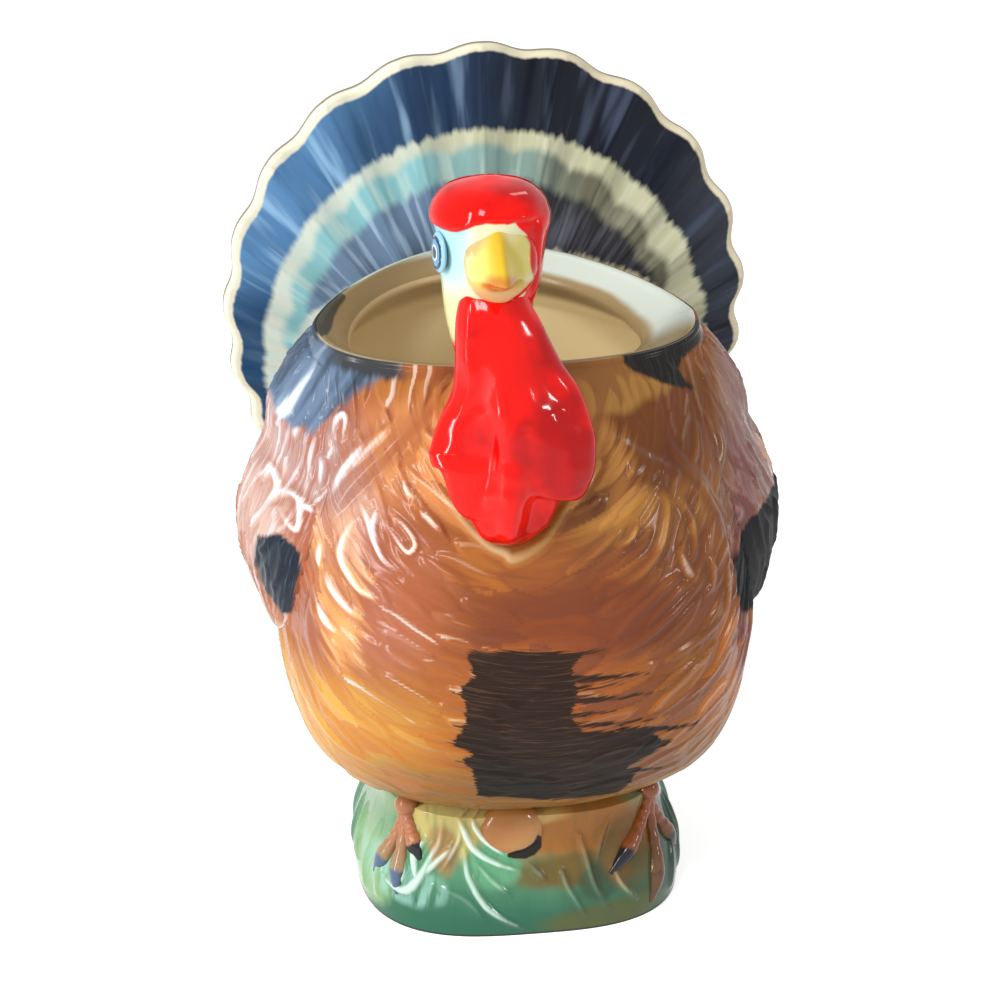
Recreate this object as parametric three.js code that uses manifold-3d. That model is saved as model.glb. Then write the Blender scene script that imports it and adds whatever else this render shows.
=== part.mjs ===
// A glazed ceramic turkey planter, as the castings that are luted together with slip before firing.
// Lengths are in millimetres and Z is up. The bird faces -Y, so its left side is +X.

import * as THREE from "three";
import { mergeVertices } from "three/addons/utils/BufferGeometryUtils.js";
import Module from "manifold-3d";

const wasm = await Module();
wasm.setup();

// Driving dimensions of the whole.
const jointGap = 0.3; // the slip joint that stays open between two castings
const castWall = 4.2; // wall of the hollow castings
const baseHeight = 26; // ground to the deck that the body sits on
const bodyHeight = 94.5; // deck to the front of the rim

// Sizes of the body: a round breast that overhangs the base and closes in towards the rim.
const bodyHalfWidth = 48.9;
const breastReach = 53; // from the body's middle to the front of the breast
const backReach = 42; // from the body's middle to its flat back
const rimBackRise = 9; // how much higher the rim is at the back than at the front
const rimSide = -1.9; // the rim's middle lies a little to the bird's right
const rimSideGrowth = 1.5; // exponent by which the sections move that way from the deck up
const mouthHalfWidth = 30.7; // of the opening inside the rim's glazed ledge
const mouthFront = 12.6; // from the body's middle to the opening's front edge
const mouthBack = 33; // and to its back edge
const mouthSide = -4.1;
const ledgeDrop = 3;
const ledgeNose = 2.4; // height of the ledge's inner edge
const rimRound = 1.1;
const bodySquareness = 2.3; // exponent of the superellipse that the sections follow
const rimBackSquareness = 1.5; // the same at the back of the rim, which runs almost straight to the fan

// Sizes of the base: an oval drum of grass, hollow underneath.
const baseHalfWidth = 35.8;
const baseHalfDepth = 36;
const baseWall = 4.6;
const baseDeck = 5; // thickness under the body
const baseSquareness = 3;
const baseBackSquareness = 2.2;
const grassHeight = 1.3; // how far a blade of grass stands proud
const grassCount = 15;

// Sizes of the tail fan.
const fanRadius = 59; // of the circle that the feather tips lie on
const fanRise = 30; // centre of that circle above the feathers' root
const fanRootRise = 60.5; // root of the feathers above the deck
const fanFeathers = 17;
const fanFeatherPitch = THREE.MathUtils.degToRad(12);
const fanSeat = 1.4; // how deep the body's back is let into the fan
const fanEdge = 3.6; // thickness near the tips
const fanCup = 5.5; // how far the tips come forward of a flat fan
const fanScallop = 1.7; // depth of the soft notch between two tips
const fanFlute = 0.9; // depth of the groove between two feathers
const fanBoss = 7; // extra thickness of the boss at the root
const fanBossRadius = 19;
const fanLean = THREE.MathUtils.degToRad(2);
const fanTurn = THREE.MathUtils.degToRad(1.5); // the fan leans a little to the bird's right

// Sizes of a wing, which lies on the side of the body.
const wingBulge = 8.6; // greatest thickness
const wingEdge = 1.3; // thickness where the wing ends
const wingRidge = 0.55;
const wingSink = 1.2; // how far a wing would reach into the body if it were not fitted to it
const wingFeathers = 4;
const leftShoulderShare = 0.72; // the left wing's thickness at the shoulder, as a share of the right wing's

// Sizes of the neck and head.
const neckHalfWidth = 7.6;
const neckHalfDepth = 8;
const neckStandOff = 5; // from the rim to the back of the neck
const neckSide = -7; // the neck stands a little to the bird's right
const headSide = -3.1; // and the head leans further that way
const headHalfWidth = 10.2;
const headHalfDepth = 11.6;
const headTopRise = 43; // top of the head above the front of the rim
const headTurn = THREE.MathUtils.degToRad(3);

// Sizes of what is applied to the head.
const beakLength = 9;
const beakHalfWidth = 6.2;
const beakHalfHeight = 7.2;
const beakDroop = 1.3;
const beakSide = 0.9; // the beak stands a little to the bird's left
const beakDrop = 2.4; // from the middle of the head down to the beak's axis
const eyeHalfWidth = 3.4;
const eyeHalfHeight = 4;
const eyeProud = 0.9;
const eyeDrop = 1.8; // from the middle of the head down to the eyes
const rightEyeAngle = THREE.MathUtils.degToRad(79); // from the beak round to the right eye
const leftEyeAngle = THREE.MathUtils.degToRad(118); // the left eye sits further back
const wattleDrop = 48; // from the chin to the wattle's tip
const wattleHalfWidth = 15.4;
const wattleHalfDepth = 7.4;
const wattleLobe = 1.1; // depth of the folds between the wattle's lobes

// Sizes of the feet and of the knoll between them.
const toeRadius = 1.6;
const toeProud = 0.4; // height of a toe's axis above the drum's wall
const clawSwell = 0.4; // how much thicker a toe is at its claw
const ankleRadius = 2.9;
const knollSide = -4.6; // the knoll lies a little to the bird's right
const knollHalfWidth = 7;
const knollHalfHeight = 6.3;
const knollProud = 2.2;

// Facets.
const bodySides = 64;
const fanStepsPerFeather = 4;
const fanLowerSteps = 12;
const baseSides = 90;
const pebbleSides = 16;
const pebbleRows = 10;

const turn = Math.PI * 2;
const quarterTurn = Math.PI / 2;

// A smooth curve through values spaced evenly over t from 0 to 1.
function spline(values, t) {
  const last = values.length - 1;
  const at = THREE.MathUtils.clamp(t, 0, 1) * last;
  const i = Math.min(Math.floor(at), last - 1);
  const f = at - i;
  const [a, b, c, d] = [i - 1, i, i + 1, i + 2].map((k) => values[THREE.MathUtils.clamp(k, 0, last)]);
  const [one, two, three] = [c - a, 2 * a - 5 * b + 4 * c - d, 3 * b - a - 3 * c + d];
  return 0.5 * (2 * b + (one + (two + three * f) * f) * f);
}

// The same for one column of a table of stations.
const column = (table, k, t) => spline(table.map((row) => row[k]), t);

const evenly = (count, make) => Array.from({ length: count }, (_, i) => make(i));

// A closed mesh through rings of equally many points, its two ends filled to their middles.
function solidOfRings(rings) {
  const sides = rings[0].length;
  const middle = (ring) => ring.reduce((sum, p) => sum.add(p), new THREE.Vector3()).divideScalar(sides);
  const points = [...rings.flat(), middle(rings[0]), middle(rings.at(-1))];
  const faces = [];
  for (let r = 0; r + 1 < rings.length; r++) {
    for (let i = 0; i < sides; i++) {
      const j = (i + 1) % sides;
      const [a, b, c, d] = [r * sides + i, r * sides + j, (r + 1) * sides + j, (r + 1) * sides + i];
      faces.push(a, b, c, a, c, d);
    }
  }
  const lastRing = (rings.length - 1) * sides;
  for (let i = 0; i < sides; i++) {
    const j = (i + 1) % sides;
    faces.push(points.length - 2, j, i, points.length - 1, lastRing + i, lastRing + j);
  }
  const made = new THREE.BufferGeometry().setFromPoints(points).setIndex(faces);
  return volumeOf(made) < 0 ? reversed(made) : made;
}

function volumeOf(geometry) {
  const p = geometry.getAttribute("position");
  const [a, b, c] = evenly(3, () => new THREE.Vector3());
  let six = 0;
  for (let i = 0; i < geometry.index.count; i += 3) {
    a.fromBufferAttribute(p, geometry.index.getX(i));
    b.fromBufferAttribute(p, geometry.index.getX(i + 1));
    c.fromBufferAttribute(p, geometry.index.getX(i + 2));
    six += a.dot(b.cross(c));
  }
  return six / 6;
}

function reversed(geometry) {
  const index = Array.from(geometry.index.array);
  for (let i = 0; i < index.length; i += 3) [index[i + 1], index[i + 2]] = [index[i + 2], index[i + 1]];
  return geometry.setIndex(index);
}

// The geometry with every point moved out along its normal.
function grown(geometry, by) {
  const made = geometry.clone();
  made.computeVertexNormals();
  const [p, n] = [made.getAttribute("position"), made.getAttribute("normal")];
  for (let i = 0; i < p.count; i++) {
    p.setXYZ(i, p.getX(i) + by * n.getX(i), p.getY(i) + by * n.getY(i), p.getZ(i) + by * n.getZ(i));
  }
  made.deleteAttribute("normal");
  return made;
}

function manifoldOf(geometry) {
  const plain = mergeVertices(geometry);
  const mesh = { numProp: 3, vertProperties: plain.getAttribute("position").array };
  return new wasm.Manifold(new wasm.Mesh({ ...mesh, triVerts: new Uint32Array(plain.index.array) }));
}

function geometryOf(manifold) {
  const mesh = manifold.getMesh();
  const made = new THREE.BufferGeometry();
  made.setAttribute("position", new THREE.BufferAttribute(mesh.vertProperties, 3));
  return made.setIndex(new THREE.BufferAttribute(mesh.triVerts, 1));
}

// The first geometry joined with the others.
const joined = (...pieces) => geometryOf(wasm.Manifold.union(pieces.map(manifoldOf)));

// A casting fitted to its neighbours: it stops one joint gap short of each.
// What a neighbour cuts off behind it is trimmed away.
function fitted(piece, ...neighbours) {
  const cutters = neighbours.map((g) => manifoldOf(grown(g, jointGap)));
  const cut = manifoldOf(piece).subtract(wasm.Manifold.union(cutters));
  const pieces = cut.decompose().sort((a, b) => b.volume() - a.volume());
  return geometryOf(pieces[0]);
}

// A round or oval bar along a spine. Each station has a place, a half width and a half depth.
function bar(stations, sides, steps, lobes = () => 0) {
  const placeAt = (t) => new THREE.Vector3(...[0, 1, 2].map((k) => column(stations, k, t)));
  const rings = evenly(steps + 1, (r) => {
    const t = r / steps;
    const along = placeAt(t + 0.5 / steps).sub(placeAt(t - 0.5 / steps)).normalize();
    const across = new THREE.Vector3(1, 0, 0).addScaledVector(along, -along.x).normalize();
    const deep = along.clone().cross(across);
    const [w, d] = [column(stations, 3, t), column(stations, 4, t)];
    return evenly(sides, (i) => {
      const a = (i / sides) * turn;
      const swell = lobes(a, t);
      return placeAt(t)
        .addScaledVector(across, (w + swell) * Math.cos(a))
        .addScaledVector(deep, (d + swell) * Math.sin(a));
    });
  });
  return solidOfRings(rings);
}

// Body. Heights are shares of bodyHeight.
// The other columns are shares of bodyHalfWidth, breastReach and backReach.
const bodyShares = [
  [0, 0.64, 0.52, 0.74],
  [0.05, 0.815, 0.68, 0.86],
  [0.12, 0.94, 0.83, 0.93],
  [0.24, 1.01, 0.95, 0.98],
  [0.38, 1.03, 1, 1],
  [0.53, 1.005, 0.975, 1],
  [0.68, 0.97, 0.87, 1],
  [0.82, 0.92, 0.71, 1],
  [0.92, 0.87, 0.53, 1],
  [1, 0.825, 0.375, 1],
];
const rimReach = breastReach * bodyShares.at(-1)[2];
const deckHeight = baseHeight + jointGap;
const rimHeight = deckHeight + bodyHeight;

// How far a superellipse reaches at an angle, as a share of its axes.
function squared(angle, power) {
  return (Math.abs(Math.sin(angle)) ** power + Math.abs(Math.cos(angle)) ** power) ** (-1 / power);
}

const riseAt = (angle) => rimBackRise * ((1 - Math.cos(angle)) / 2) ** 1.2;

// A point of the body's outside. Angle 0 is the front, and t runs from the deck to the rim.
function bodyPoint(angle, t) {
  const [s, c] = [Math.sin(angle), Math.cos(angle)];
  const pinch = THREE.MathUtils.smoothstep(t, 0.7, 1);
  const backPower = THREE.MathUtils.lerp(bodySquareness, rimBackSquareness, pinch);
  const round = squared(angle, c > 0 ? bodySquareness : backPower);
  const reach = c > 0 ? breastReach * column(bodyShares, 2, t) : backReach * column(bodyShares, 3, t);
  const height = column(bodyShares, 0, t) * (bodyHeight + riseAt(angle));
  const across = bodyHalfWidth * column(bodyShares, 1, t) * round * s;
  return new THREE.Vector3(across + rimSide * t ** rimSideGrowth, -reach * round * c, deckHeight + height);
}

// The outward normal there.
function bodyNormal(angle, t) {
  const step = 1e-3;
  const around = bodyPoint(angle + step, t).sub(bodyPoint(angle - step, t));
  const up = bodyPoint(angle, Math.min(t + step, 1)).sub(bodyPoint(angle, Math.max(t - step, 0)));
  return around.cross(up).normalize();
}

const bodyOffset = (angle, t, out) => bodyPoint(angle, t).addScaledVector(bodyNormal(angle, t), out);

const bodyRing = (place) => evenly(bodySides, (i) => place((i / bodySides) * turn));

const bodyOuterRings = evenly(13, (r) => bodyRing((a) => bodyPoint(a, r / 12)));

// A place on the rim, moved inwards and up.
function rimPoint(angle, inwards, up) {
  const n = bodyNormal(angle, 1).setZ(0).normalize();
  return bodyPoint(angle, 1).addScaledVector(n, -inwards).add(new THREE.Vector3(0, 0, up));
}

const lipRing = ([inwards, up]) => bodyRing((a) => rimPoint(a, inwards, up));
const roundedRim = [
  [rimRound * 0.4, rimRound],
  [rimRound * 1.8, rimRound],
].map(lipRing);

// A place on the edge of the opening, by its height from the rim.
function mouthPoint(angle, up) {
  const [s, c] = [Math.sin(angle), Math.cos(angle)];
  const round = squared(angle, c > 0 ? bodySquareness : (bodySquareness + rimBackSquareness) / 2);
  const reach = c > 0 ? mouthFront : mouthBack;
  const height = rimHeight + riseAt(angle) + up;
  return new THREE.Vector3(mouthSide + mouthHalfWidth * round * s, -reach * round * c, height);
}

// The body's outside as a filled solid, which the neighbours are fitted to.
const bodyFilled = solidOfRings([...bodyOuterRings, ...roundedRim]);

function bodyVessel() {
  const ledge = [-ledgeDrop, -ledgeDrop - ledgeNose].map((up) => bodyRing((a) => mouthPoint(a, up)));
  const cavityShares = [0.86, 0.78, 0.68, 0.56, 0.44, 0.33, 0.23, 0.14];
  const cavity = cavityShares.map((t) => bodyRing((a) => bodyOffset(a, t, -castWall)));
  const floor = bodyRing((a) => bodyPoint(a, 0).setZ(deckHeight + castWall));
  return solidOfRings([...bodyOuterRings, ...roundedRim, ...ledge, ...cavity, floor]);
}

// Base. Blades of grass stand on the drum's wall as low ridges, each leaning its own way.
const bladeShares = evenly(grassCount, (i) => {
  const sway = Math.sin(i * 2.4);
  const tall = 0.75 + 0.25 * Math.cos(i * 1.3);
  return { at: (i + 0.3 * sway) / grassCount, lean: 0.045 * Math.sin(i * 1.7 + 1), tall };
});
const bladeHalfWidthShare = 0.014;

function grassAt(angle, t) {
  const share = angle / turn;
  const blades = bladeShares.map((blade) => {
    const away = share - blade.at - blade.lean * (1 - t) ** 2;
    const nearest = away - Math.round(away);
    return Math.exp(-((nearest / (bladeHalfWidthShare * (1.6 - t))) ** 2)) * blade.tall;
  });
  return grassHeight * Math.max(...blades) * Math.sin(Math.PI * Math.min(t * 0.85 + 0.12, 1)) ** 0.7;
}

// Width and depth of the drum, as shares from the ground to the deck.
const baseShares = [1, 1.005, 0.99, 0.955, 0.91, 0.875, 0.865];

function basePoint(angle, t, inwards = 0) {
  const [s, c] = [Math.sin(angle), Math.cos(angle)];
  const round = squared(angle, c > 0 ? baseSquareness : baseBackSquareness);
  const share = spline(baseShares, t);
  const grass = inwards > 0 ? 0 : grassAt(angle, t);
  const across = (baseHalfWidth * share - inwards) * round + grass;
  const deep = (baseHalfDepth * share - inwards) * round + grass;
  return new THREE.Vector3(across * s, -deep * c, baseHeight * t);
}

const baseRing = (t, inwards) => evenly(baseSides, (i) => basePoint((i / baseSides) * turn, t, inwards));

const baseOuterRings = evenly(9, (r) => baseRing(r / 8, 0));
const baseFilled = solidOfRings(baseOuterRings);

function grassBase() {
  const ceiling = 1 - baseDeck / baseHeight;
  const hollow = evenly(5, (r) => baseRing(ceiling * (1 - r / 4), baseWall + baseWall * 0.5 * (1 - r / 4)));
  return solidOfRings([...hollow, ...baseOuterRings]);
}

// Tail fan. The feathers spread from a root behind the body, and their tips lie on one circle.
const fanSpread = (fanFeathers * fanFeatherPitch) / 2;
const fanRootHeight = deckHeight + fanRootRise;
const fanFrontAt = backReach - fanSeat;
const fanThroatShare = 0.36; // reach of the fan below its last feathers, as a share of fanRadius

function fanReach(angle) {
  const side = fanRise * Math.sin(angle);
  const circle = fanRise * Math.cos(angle) + Math.sqrt(fanRadius ** 2 - side ** 2);
  const inFeather = (angle + fanSpread) / fanFeatherPitch;
  const off = 2 * (inFeather - Math.floor(inFeather)) - 1;
  const below = Math.abs(angle) - fanSpread;
  const throat = fanRadius * fanThroatShare;
  if (below > 0) return throat + (circle - fanScallop - throat) * Math.exp(-below * 9);
  return circle - fanScallop * (0.5 - 0.5 * Math.cos(Math.PI * off)) ** 1.3;
}

function fanPoint(angle, share, back) {
  const reach = fanReach(angle) * share;
  const inPitch = Math.cos(((angle + fanSpread) / fanFeatherPitch) * turn);
  const groove = fanFlute * inPitch * Math.min(share * 1.5, 1);
  const fluted = Math.abs(angle) < fanSpread ? groove : 0;
  const boss = fanBoss * Math.exp(-((reach / fanBossRadius) ** 2));
  const cup = fanCup * (reach / fanRadius) ** 2 * 0.5;
  const front = fanFrontAt - cup + Math.tan(fanLean) * reach * Math.cos(angle);
  const deep = back ? fanEdge * (1.5 - 0.5 * share) + boss : 0;
  const rounding = share === 1 ? (back ? -1 : 1) * fanEdge * 0.2 : 0;
  const height = fanRootHeight + reach * Math.cos(angle - fanTurn);
  return new THREE.Vector3(reach * Math.sin(angle - fanTurn), front + deep + fluted + rounding, height);
}

function tailFan() {
  const upperSteps = fanFeathers * fanStepsPerFeather;
  const upper = evenly(upperSteps, (i) => -fanSpread + (i / fanStepsPerFeather) * fanFeatherPitch);
  const lower = evenly(fanLowerSteps, (i) => fanSpread + (i / fanLowerSteps) * (turn - 2 * fanSpread));
  const angles = [...upper, ...lower].map((a) => (a > Math.PI ? a - turn : a));
  const shares = [0.12, 0.32, 0.52, 0.7, 0.85, 0.96, 1];
  const face = (back) => shares.map((share) => angles.map((a) => fanPoint(a, share, back)));
  return fitted(solidOfRings([...face(false), ...face(true).reverse()]), bodyFilled);
}

// Wing of the side given by its sign. The stations run from the drooping tip up to the shoulder.
// Columns: height on the body, front edge and back edge in degrees from the breast, and share of wingBulge.
const wingShares = [
  [0.41, 85, 92, 0.05],
  [0.46, 75, 102, 0.4],
  [0.51, 70, 110, 0.72],
  [0.56, 66, 116, 0.92],
  [0.62, 62, 120, 0.98],
  [0.68, 58, 123, 0.8],
  [0.74, 55, 125, 0.5],
  [0.81, 54, 125, 0.56],
  [0.88, 55, 124, 0.36],
  [0.95, 58, 120, 0.05],
];

function wing(sign) {
  const [rows, across] = [18, 12];
  const angleAt = (k, v) => THREE.MathUtils.degToRad(column(wingShares, k, v));
  const rings = evenly(rows + 1, (r) => {
    const v = r / rows;
    const t = column(wingShares, 0, v);
    const place = (j, out) => {
      const share = j / across;
      const angle = THREE.MathUtils.lerp(angleAt(1, v), angleAt(2, v), share);
      return bodyOffset(sign * angle, t, out);
    };
    const thinner = sign > 0 ? 1 - leftShoulderShare : 0;
    const shoulder = 1 - thinner * THREE.MathUtils.smoothstep(v, 0.55, 0.8);
    const proud = (j) => {
      const share = j / across;
      const softness = 0.75 + 0.75 * THREE.MathUtils.smoothstep(v, 0.35, 0.9);
      const dome = Math.sin(Math.PI * Math.min(Math.max(share, 0.02), 0.98)) ** softness;
      const ridge = wingRidge * Math.cos(share * wingFeathers * turn) * Math.sin(Math.PI * v);
      return wingEdge + (wingBulge * shoulder * column(wingShares, 3, v) + ridge) * dome;
    };
    const outer = evenly(across + 1, (j) => place(j, proud(j)));
    const inner = evenly(across + 1, (j) => place(across - j, -wingSink));
    return [...outer, ...inner];
  });
  return fitted(solidOfRings(rings), bodyFilled);
}

// Neck and head in one bar. Heights are shares of headTopRise above the rim, negative below it.
const neckBack = -(rimReach + neckStandOff);
const headLevel = rimHeight + 0.73 * headTopRise;
const neckStations = [
  [neckSide * 0.9, -0.5, 1.15, 1.1, 0.25],
  [neckSide * 0.95, -0.33, 1.15, 1.15, 0.2],
  [neckSide, -0.12, 1.1, 1.06, 0.08],
  [neckSide + headSide * 0.35, 0.14, 1.04, 1, 0],
  [neckSide + headSide, 0.4, 1.1, 1.06, 0.05],
  [neckSide + headSide, 0.57, 1.23, 1.24, 0.12],
  [neckSide + headSide, 0.73, 1.32, 1.4, 0.2],
  [neckSide + headSide, 0.86, 1.45, 1.44, 0.22],
  [neckSide + headSide, 0.96, 1.06, 1.04, 0.22],
  [neckSide + headSide, 1, 0.14, 0.14, 0.22],
].map(([x, rise, wide, deep, forward]) => [
  x,
  neckBack - neckHalfDepth * (1 + forward),
  rimHeight + rise * headTopRise,
  neckHalfWidth * wide,
  neckHalfDepth * deep,
]);

const neckBar = bar(neckStations, 24, 22);
const headAndNeck = () => fitted(neckBar, bodyFilled);

// Middle of the head, from which the applied pieces are placed.
const [headX, headY] = neckStations.at(-4);
const headMiddle = new THREE.Vector3(headX, headY, headLevel);
const faceward = new THREE.Vector3(Math.sin(headTurn), -Math.cos(headTurn), 0);
const sideways = new THREE.Vector3(Math.cos(headTurn), Math.sin(headTurn), 0);

// A place on or near the head, by its forward, sideways and upward distance from the middle.
function onHead(forward, side, up) {
  const place = headMiddle.clone().addScaledVector(faceward, forward).addScaledVector(sideways, side);
  return place.setZ(headLevel + up);
}

// The beak grows out of a broad soft pad. Columns: share of the length, width, height and droop.
function beak() {
  const stations = [
    [0, 1.1, 1.14, 0],
    [0.28, 1.1, 1.14, 0],
    [0.42, 0.98, 1.02, 0],
    [0.56, 0.72, 0.76, 0.2],
    [0.76, 0.5, 0.52, 0.6],
    [0.92, 0.28, 0.3, 0.9],
    [1, 0.08, 0.1, 1],
  ].map(([along, wide, tall, droop]) => {
    const forward = headHalfDepth * 0.6 + (beakLength + headHalfDepth * 0.4) * along;
    const place = onHead(forward, beakSide, -beakDrop - beakDroop * droop);
    return [...place.toArray(), beakHalfWidth * wide, beakHalfHeight * tall];
  });
  return fitted(bar(stations, 18, 12), neckBar);
}

// Wattle. Columns: share of the drop, the axis' distance to the bird's left of the neck's axis and forward of
// the neck's front, and then width and depth.
const chinHeight = headLevel - headHalfDepth * 0.85;
const neckFront = neckBack - 2 * neckHalfDepth;
const wattleShares = [
  [-0.04, -0.21, -0.35, 0.36, 0.42],
  [0.08, -0.19, -0.1, 0.49, 0.7],
  [0.2, -0.12, 0, 0.58, 0.84],
  [0.32, -0.05, 0.03, 0.7, 0.9],
  [0.42, 0, 0.06, 0.86, 0.96],
  [0.52, 0.03, 0.1, 0.96, 1],
  [0.62, 0.04, 0.16, 1, 1],
  [0.71, 0.01, 0.28, 0.96, 1],
  [0.79, -0.03, 0.36, 0.8, 0.94],
  [0.87, -0.01, 0.42, 0.6, 0.8],
  [0.95, 0, 0.46, 0.42, 0.6],
  [1, 0, 0.48, 0.12, 0.18],
];

function wattle() {
  const stations = wattleShares.map(([drop, side, forward, wide, deep]) => [
    neckSide + wattleHalfWidth * side,
    neckFront - wattleHalfDepth * forward,
    chinHeight - wattleDrop * drop,
    wattleHalfWidth * wide,
    wattleHalfDepth * deep,
  ]);
  const fold = (a, t) => Math.cos(5 * (a - quarterTurn)) + 0.6 * Math.sin(9 * t + 3 * a);
  const lobes = (a, t) => wattleLobe * Math.sin(Math.PI * t ** 1.5) * fold(a, t);
  return fitted(bar(stations, 30, 24, lobes), neckBar, bodyFilled, beak());
}

// A ball or pebble by its three half sizes.
function pebble(halfWidth, halfDepth, halfHeight) {
  const made = new THREE.SphereGeometry(1, pebbleSides, pebbleRows).scale(halfWidth, halfDepth, halfHeight);
  made.deleteAttribute("normal");
  made.deleteAttribute("uv");
  return mergeVertices(made);
}

// A pebble of slip for the eye, pressed on the side of the head.
function eye(sign, angle) {
  const [s, c] = [sign * Math.sin(angle), Math.cos(angle)];
  const centre = onHead(headHalfDepth * c, headHalfWidth * s, -eyeDrop);
  const outward = faceward.clone().multiplyScalar(c).addScaledVector(sideways, s);
  const made = pebble(eyeProud + jointGap, eyeHalfWidth, eyeHalfHeight);
  made.rotateZ(Math.atan2(outward.y, outward.x));
  made.translate(centre.x, centre.y, centre.z);
  return fitted(made, neckBar);
}

// A toe laid down the wall of the base, from the ankle to its claw. Angles are in degrees from the front.
function toe([ankleAngle, ankleShare], [clawAngle, clawShare]) {
  const stations = evenly(5, (k) => {
    const f = k / 4;
    const angle = THREE.MathUtils.degToRad(THREE.MathUtils.lerp(ankleAngle, clawAngle, f ** 1.4));
    const t = THREE.MathUtils.lerp(ankleShare, clawShare, f);
    const claw = clawSwell * Math.exp(-((f - 0.78) ** 2) * 60);
    const thick = toeRadius * (k < 4 ? 0.85 + 0.15 * f : 0.3) + claw;
    const place = basePoint(angle, t, -toeProud);
    return [...place.toArray(), thick, thick];
  });
  return bar(stations, 8, 9);
}

// A foot: the ankle comes out from under the body and three toes run down the wall, each by its own length.
const ankleAngle = 49;
const leftToes = [
  [26, 0.46],
  [40, 0.1],
  [60, 0.36],
];
const rightToes = [
  [40, 0.6],
  [46, 0.28],
  [58, 0.34],
];

function foot(sign, ends) {
  const toes = ends.map(([angle, share]) => toe([sign * ankleAngle, 1], [sign * angle, share]));
  const ankle = pebble(ankleRadius, ankleRadius, ankleRadius);
  const top = basePoint(THREE.MathUtils.degToRad(sign * ankleAngle), 1);
  ankle.translate(top.x, top.y, top.z);
  return fitted(joined(ankle, ...toes), baseFilled, bodyFilled);
}

// The smooth knoll in the middle of the base's front.
function knoll() {
  const dome = pebble(knollHalfWidth, knollProud + toeRadius, knollHalfHeight);
  const seat = basePoint(0, 0.86, toeRadius);
  dome.translate(knollSide, seat.y, seat.z);
  return fitted(dome, baseFilled, bodyFilled);
}

const gloss = 0.15;
const material = (color) => new THREE.MeshStandardMaterial({ color, roughness: gloss, metalness: 0 });
const glazes = {
  feather: material(0xa8623a),
  grass: material(0x5d9a72),
  tail: material(0x2c4660),
  red: material(0xd8190f),
  beak: material(0xd9b63a),
  eye: material(0x24323f),
  foot: material(0xb9683f),
};

function casting(name, geometry, glaze) {
  const mesh = new THREE.Mesh(geometry, glaze);
  mesh.name = name;
  return mesh;
}

const turkey = new THREE.Group();
turkey.add(
  casting("body_vessel", bodyVessel(), glazes.feather),
  casting("grass_base", grassBase(), glazes.grass),
  casting("tail_fan", tailFan(), glazes.tail),
  casting("wing_left", wing(1), glazes.feather),
  casting("wing_right", wing(-1), glazes.feather),
  casting("head_and_neck", headAndNeck(), glazes.red),
  casting("wattle", wattle(), glazes.red),
  casting("beak", beak(), glazes.beak),
  casting("eye_left", eye(1, leftEyeAngle), glazes.eye),
  casting("eye_right", eye(-1, rightEyeAngle), glazes.eye),
  casting("foot_left", foot(1, leftToes), glazes.foot),
  casting("foot_right", foot(-1, rightToes), glazes.foot),
  casting("knoll", knoll(), glazes.foot),
);

// The origin is the middle of the bounding box, on the ground.
const bounds = new THREE.Box3().setFromObject(turkey);
const middle = bounds.getCenter(new THREE.Vector3()).setZ(bounds.min.z);
turkey.children.forEach((mesh) => mesh.geometry.translate(-middle.x, -middle.y, -middle.z));

export default turkey;
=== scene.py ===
import math

import bpy
import numpy as np
from mathutils import Matrix, Vector


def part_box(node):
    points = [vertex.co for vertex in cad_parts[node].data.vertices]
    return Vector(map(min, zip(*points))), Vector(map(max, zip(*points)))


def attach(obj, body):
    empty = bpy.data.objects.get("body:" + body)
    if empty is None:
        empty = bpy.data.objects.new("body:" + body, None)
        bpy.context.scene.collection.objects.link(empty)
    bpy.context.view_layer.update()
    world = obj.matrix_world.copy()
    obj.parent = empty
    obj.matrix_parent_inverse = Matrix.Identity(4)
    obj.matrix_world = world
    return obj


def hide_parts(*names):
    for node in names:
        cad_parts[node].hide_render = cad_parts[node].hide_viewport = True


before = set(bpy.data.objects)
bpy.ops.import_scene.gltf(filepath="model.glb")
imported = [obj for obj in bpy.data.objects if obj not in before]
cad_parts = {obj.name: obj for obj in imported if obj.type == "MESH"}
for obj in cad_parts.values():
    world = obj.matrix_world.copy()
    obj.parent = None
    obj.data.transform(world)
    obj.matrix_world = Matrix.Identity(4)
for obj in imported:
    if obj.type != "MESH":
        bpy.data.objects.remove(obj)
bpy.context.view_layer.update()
rng = np.random.RandomState(11)
turn = 2 * math.pi

# Sizes in millimetres, as in the part's source.
base_height, joint, body_height = 26, 0.3, 94.5
body_half_width, breast_reach, back_reach, rim_back_rise = 48.9, 53, 42, 9
ledge_drop, ledge_nose, rim_round, wall = 3, 2.4, 1.1, 4.2
body_square, rim_back_square, rim_side, rim_side_growth = 2.3, 1.5, -1.9, 1.5
mouth_half_width, mouth_front, mouth_back, mouth_side = 30.7, 12.6, 33, -4.1
base_square, base_back_square = 3, 2.2
base_half_width, base_half_depth, base_wall, base_deck = 35.8, 36, 4.6, 5
deck = base_height + joint
rim_height = deck + body_height


def spline(values, t):
    v = np.asarray(values, float)
    last = len(v) - 1
    at = np.clip(t, 0, 1) * last
    i = np.minimum(at.astype(int), last - 1)
    f = at - i
    a, b, c, d = (v[np.clip(i + k, 0, last)] for k in (-1, 0, 1, 2))
    square, cube = 2 * a - 5 * b + 4 * c - d, 3 * b - a - 3 * c + d
    return 0.5 * (2 * b + (c - a) * f + square * f * f + cube * f**3)


def column(table, k, t):
    """One column of a table of shares, smoothly over 0 to 1."""
    return spline([row[k] for row in table], t)


def smooth(x, lo, hi):
    """0 at lo and 1 at hi, with a soft change between them. hi may be the lower."""
    f = np.clip((np.asarray(x, float) - lo) / (hi - lo), 0, 1)
    return f * f * (3 - 2 * f)


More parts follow.
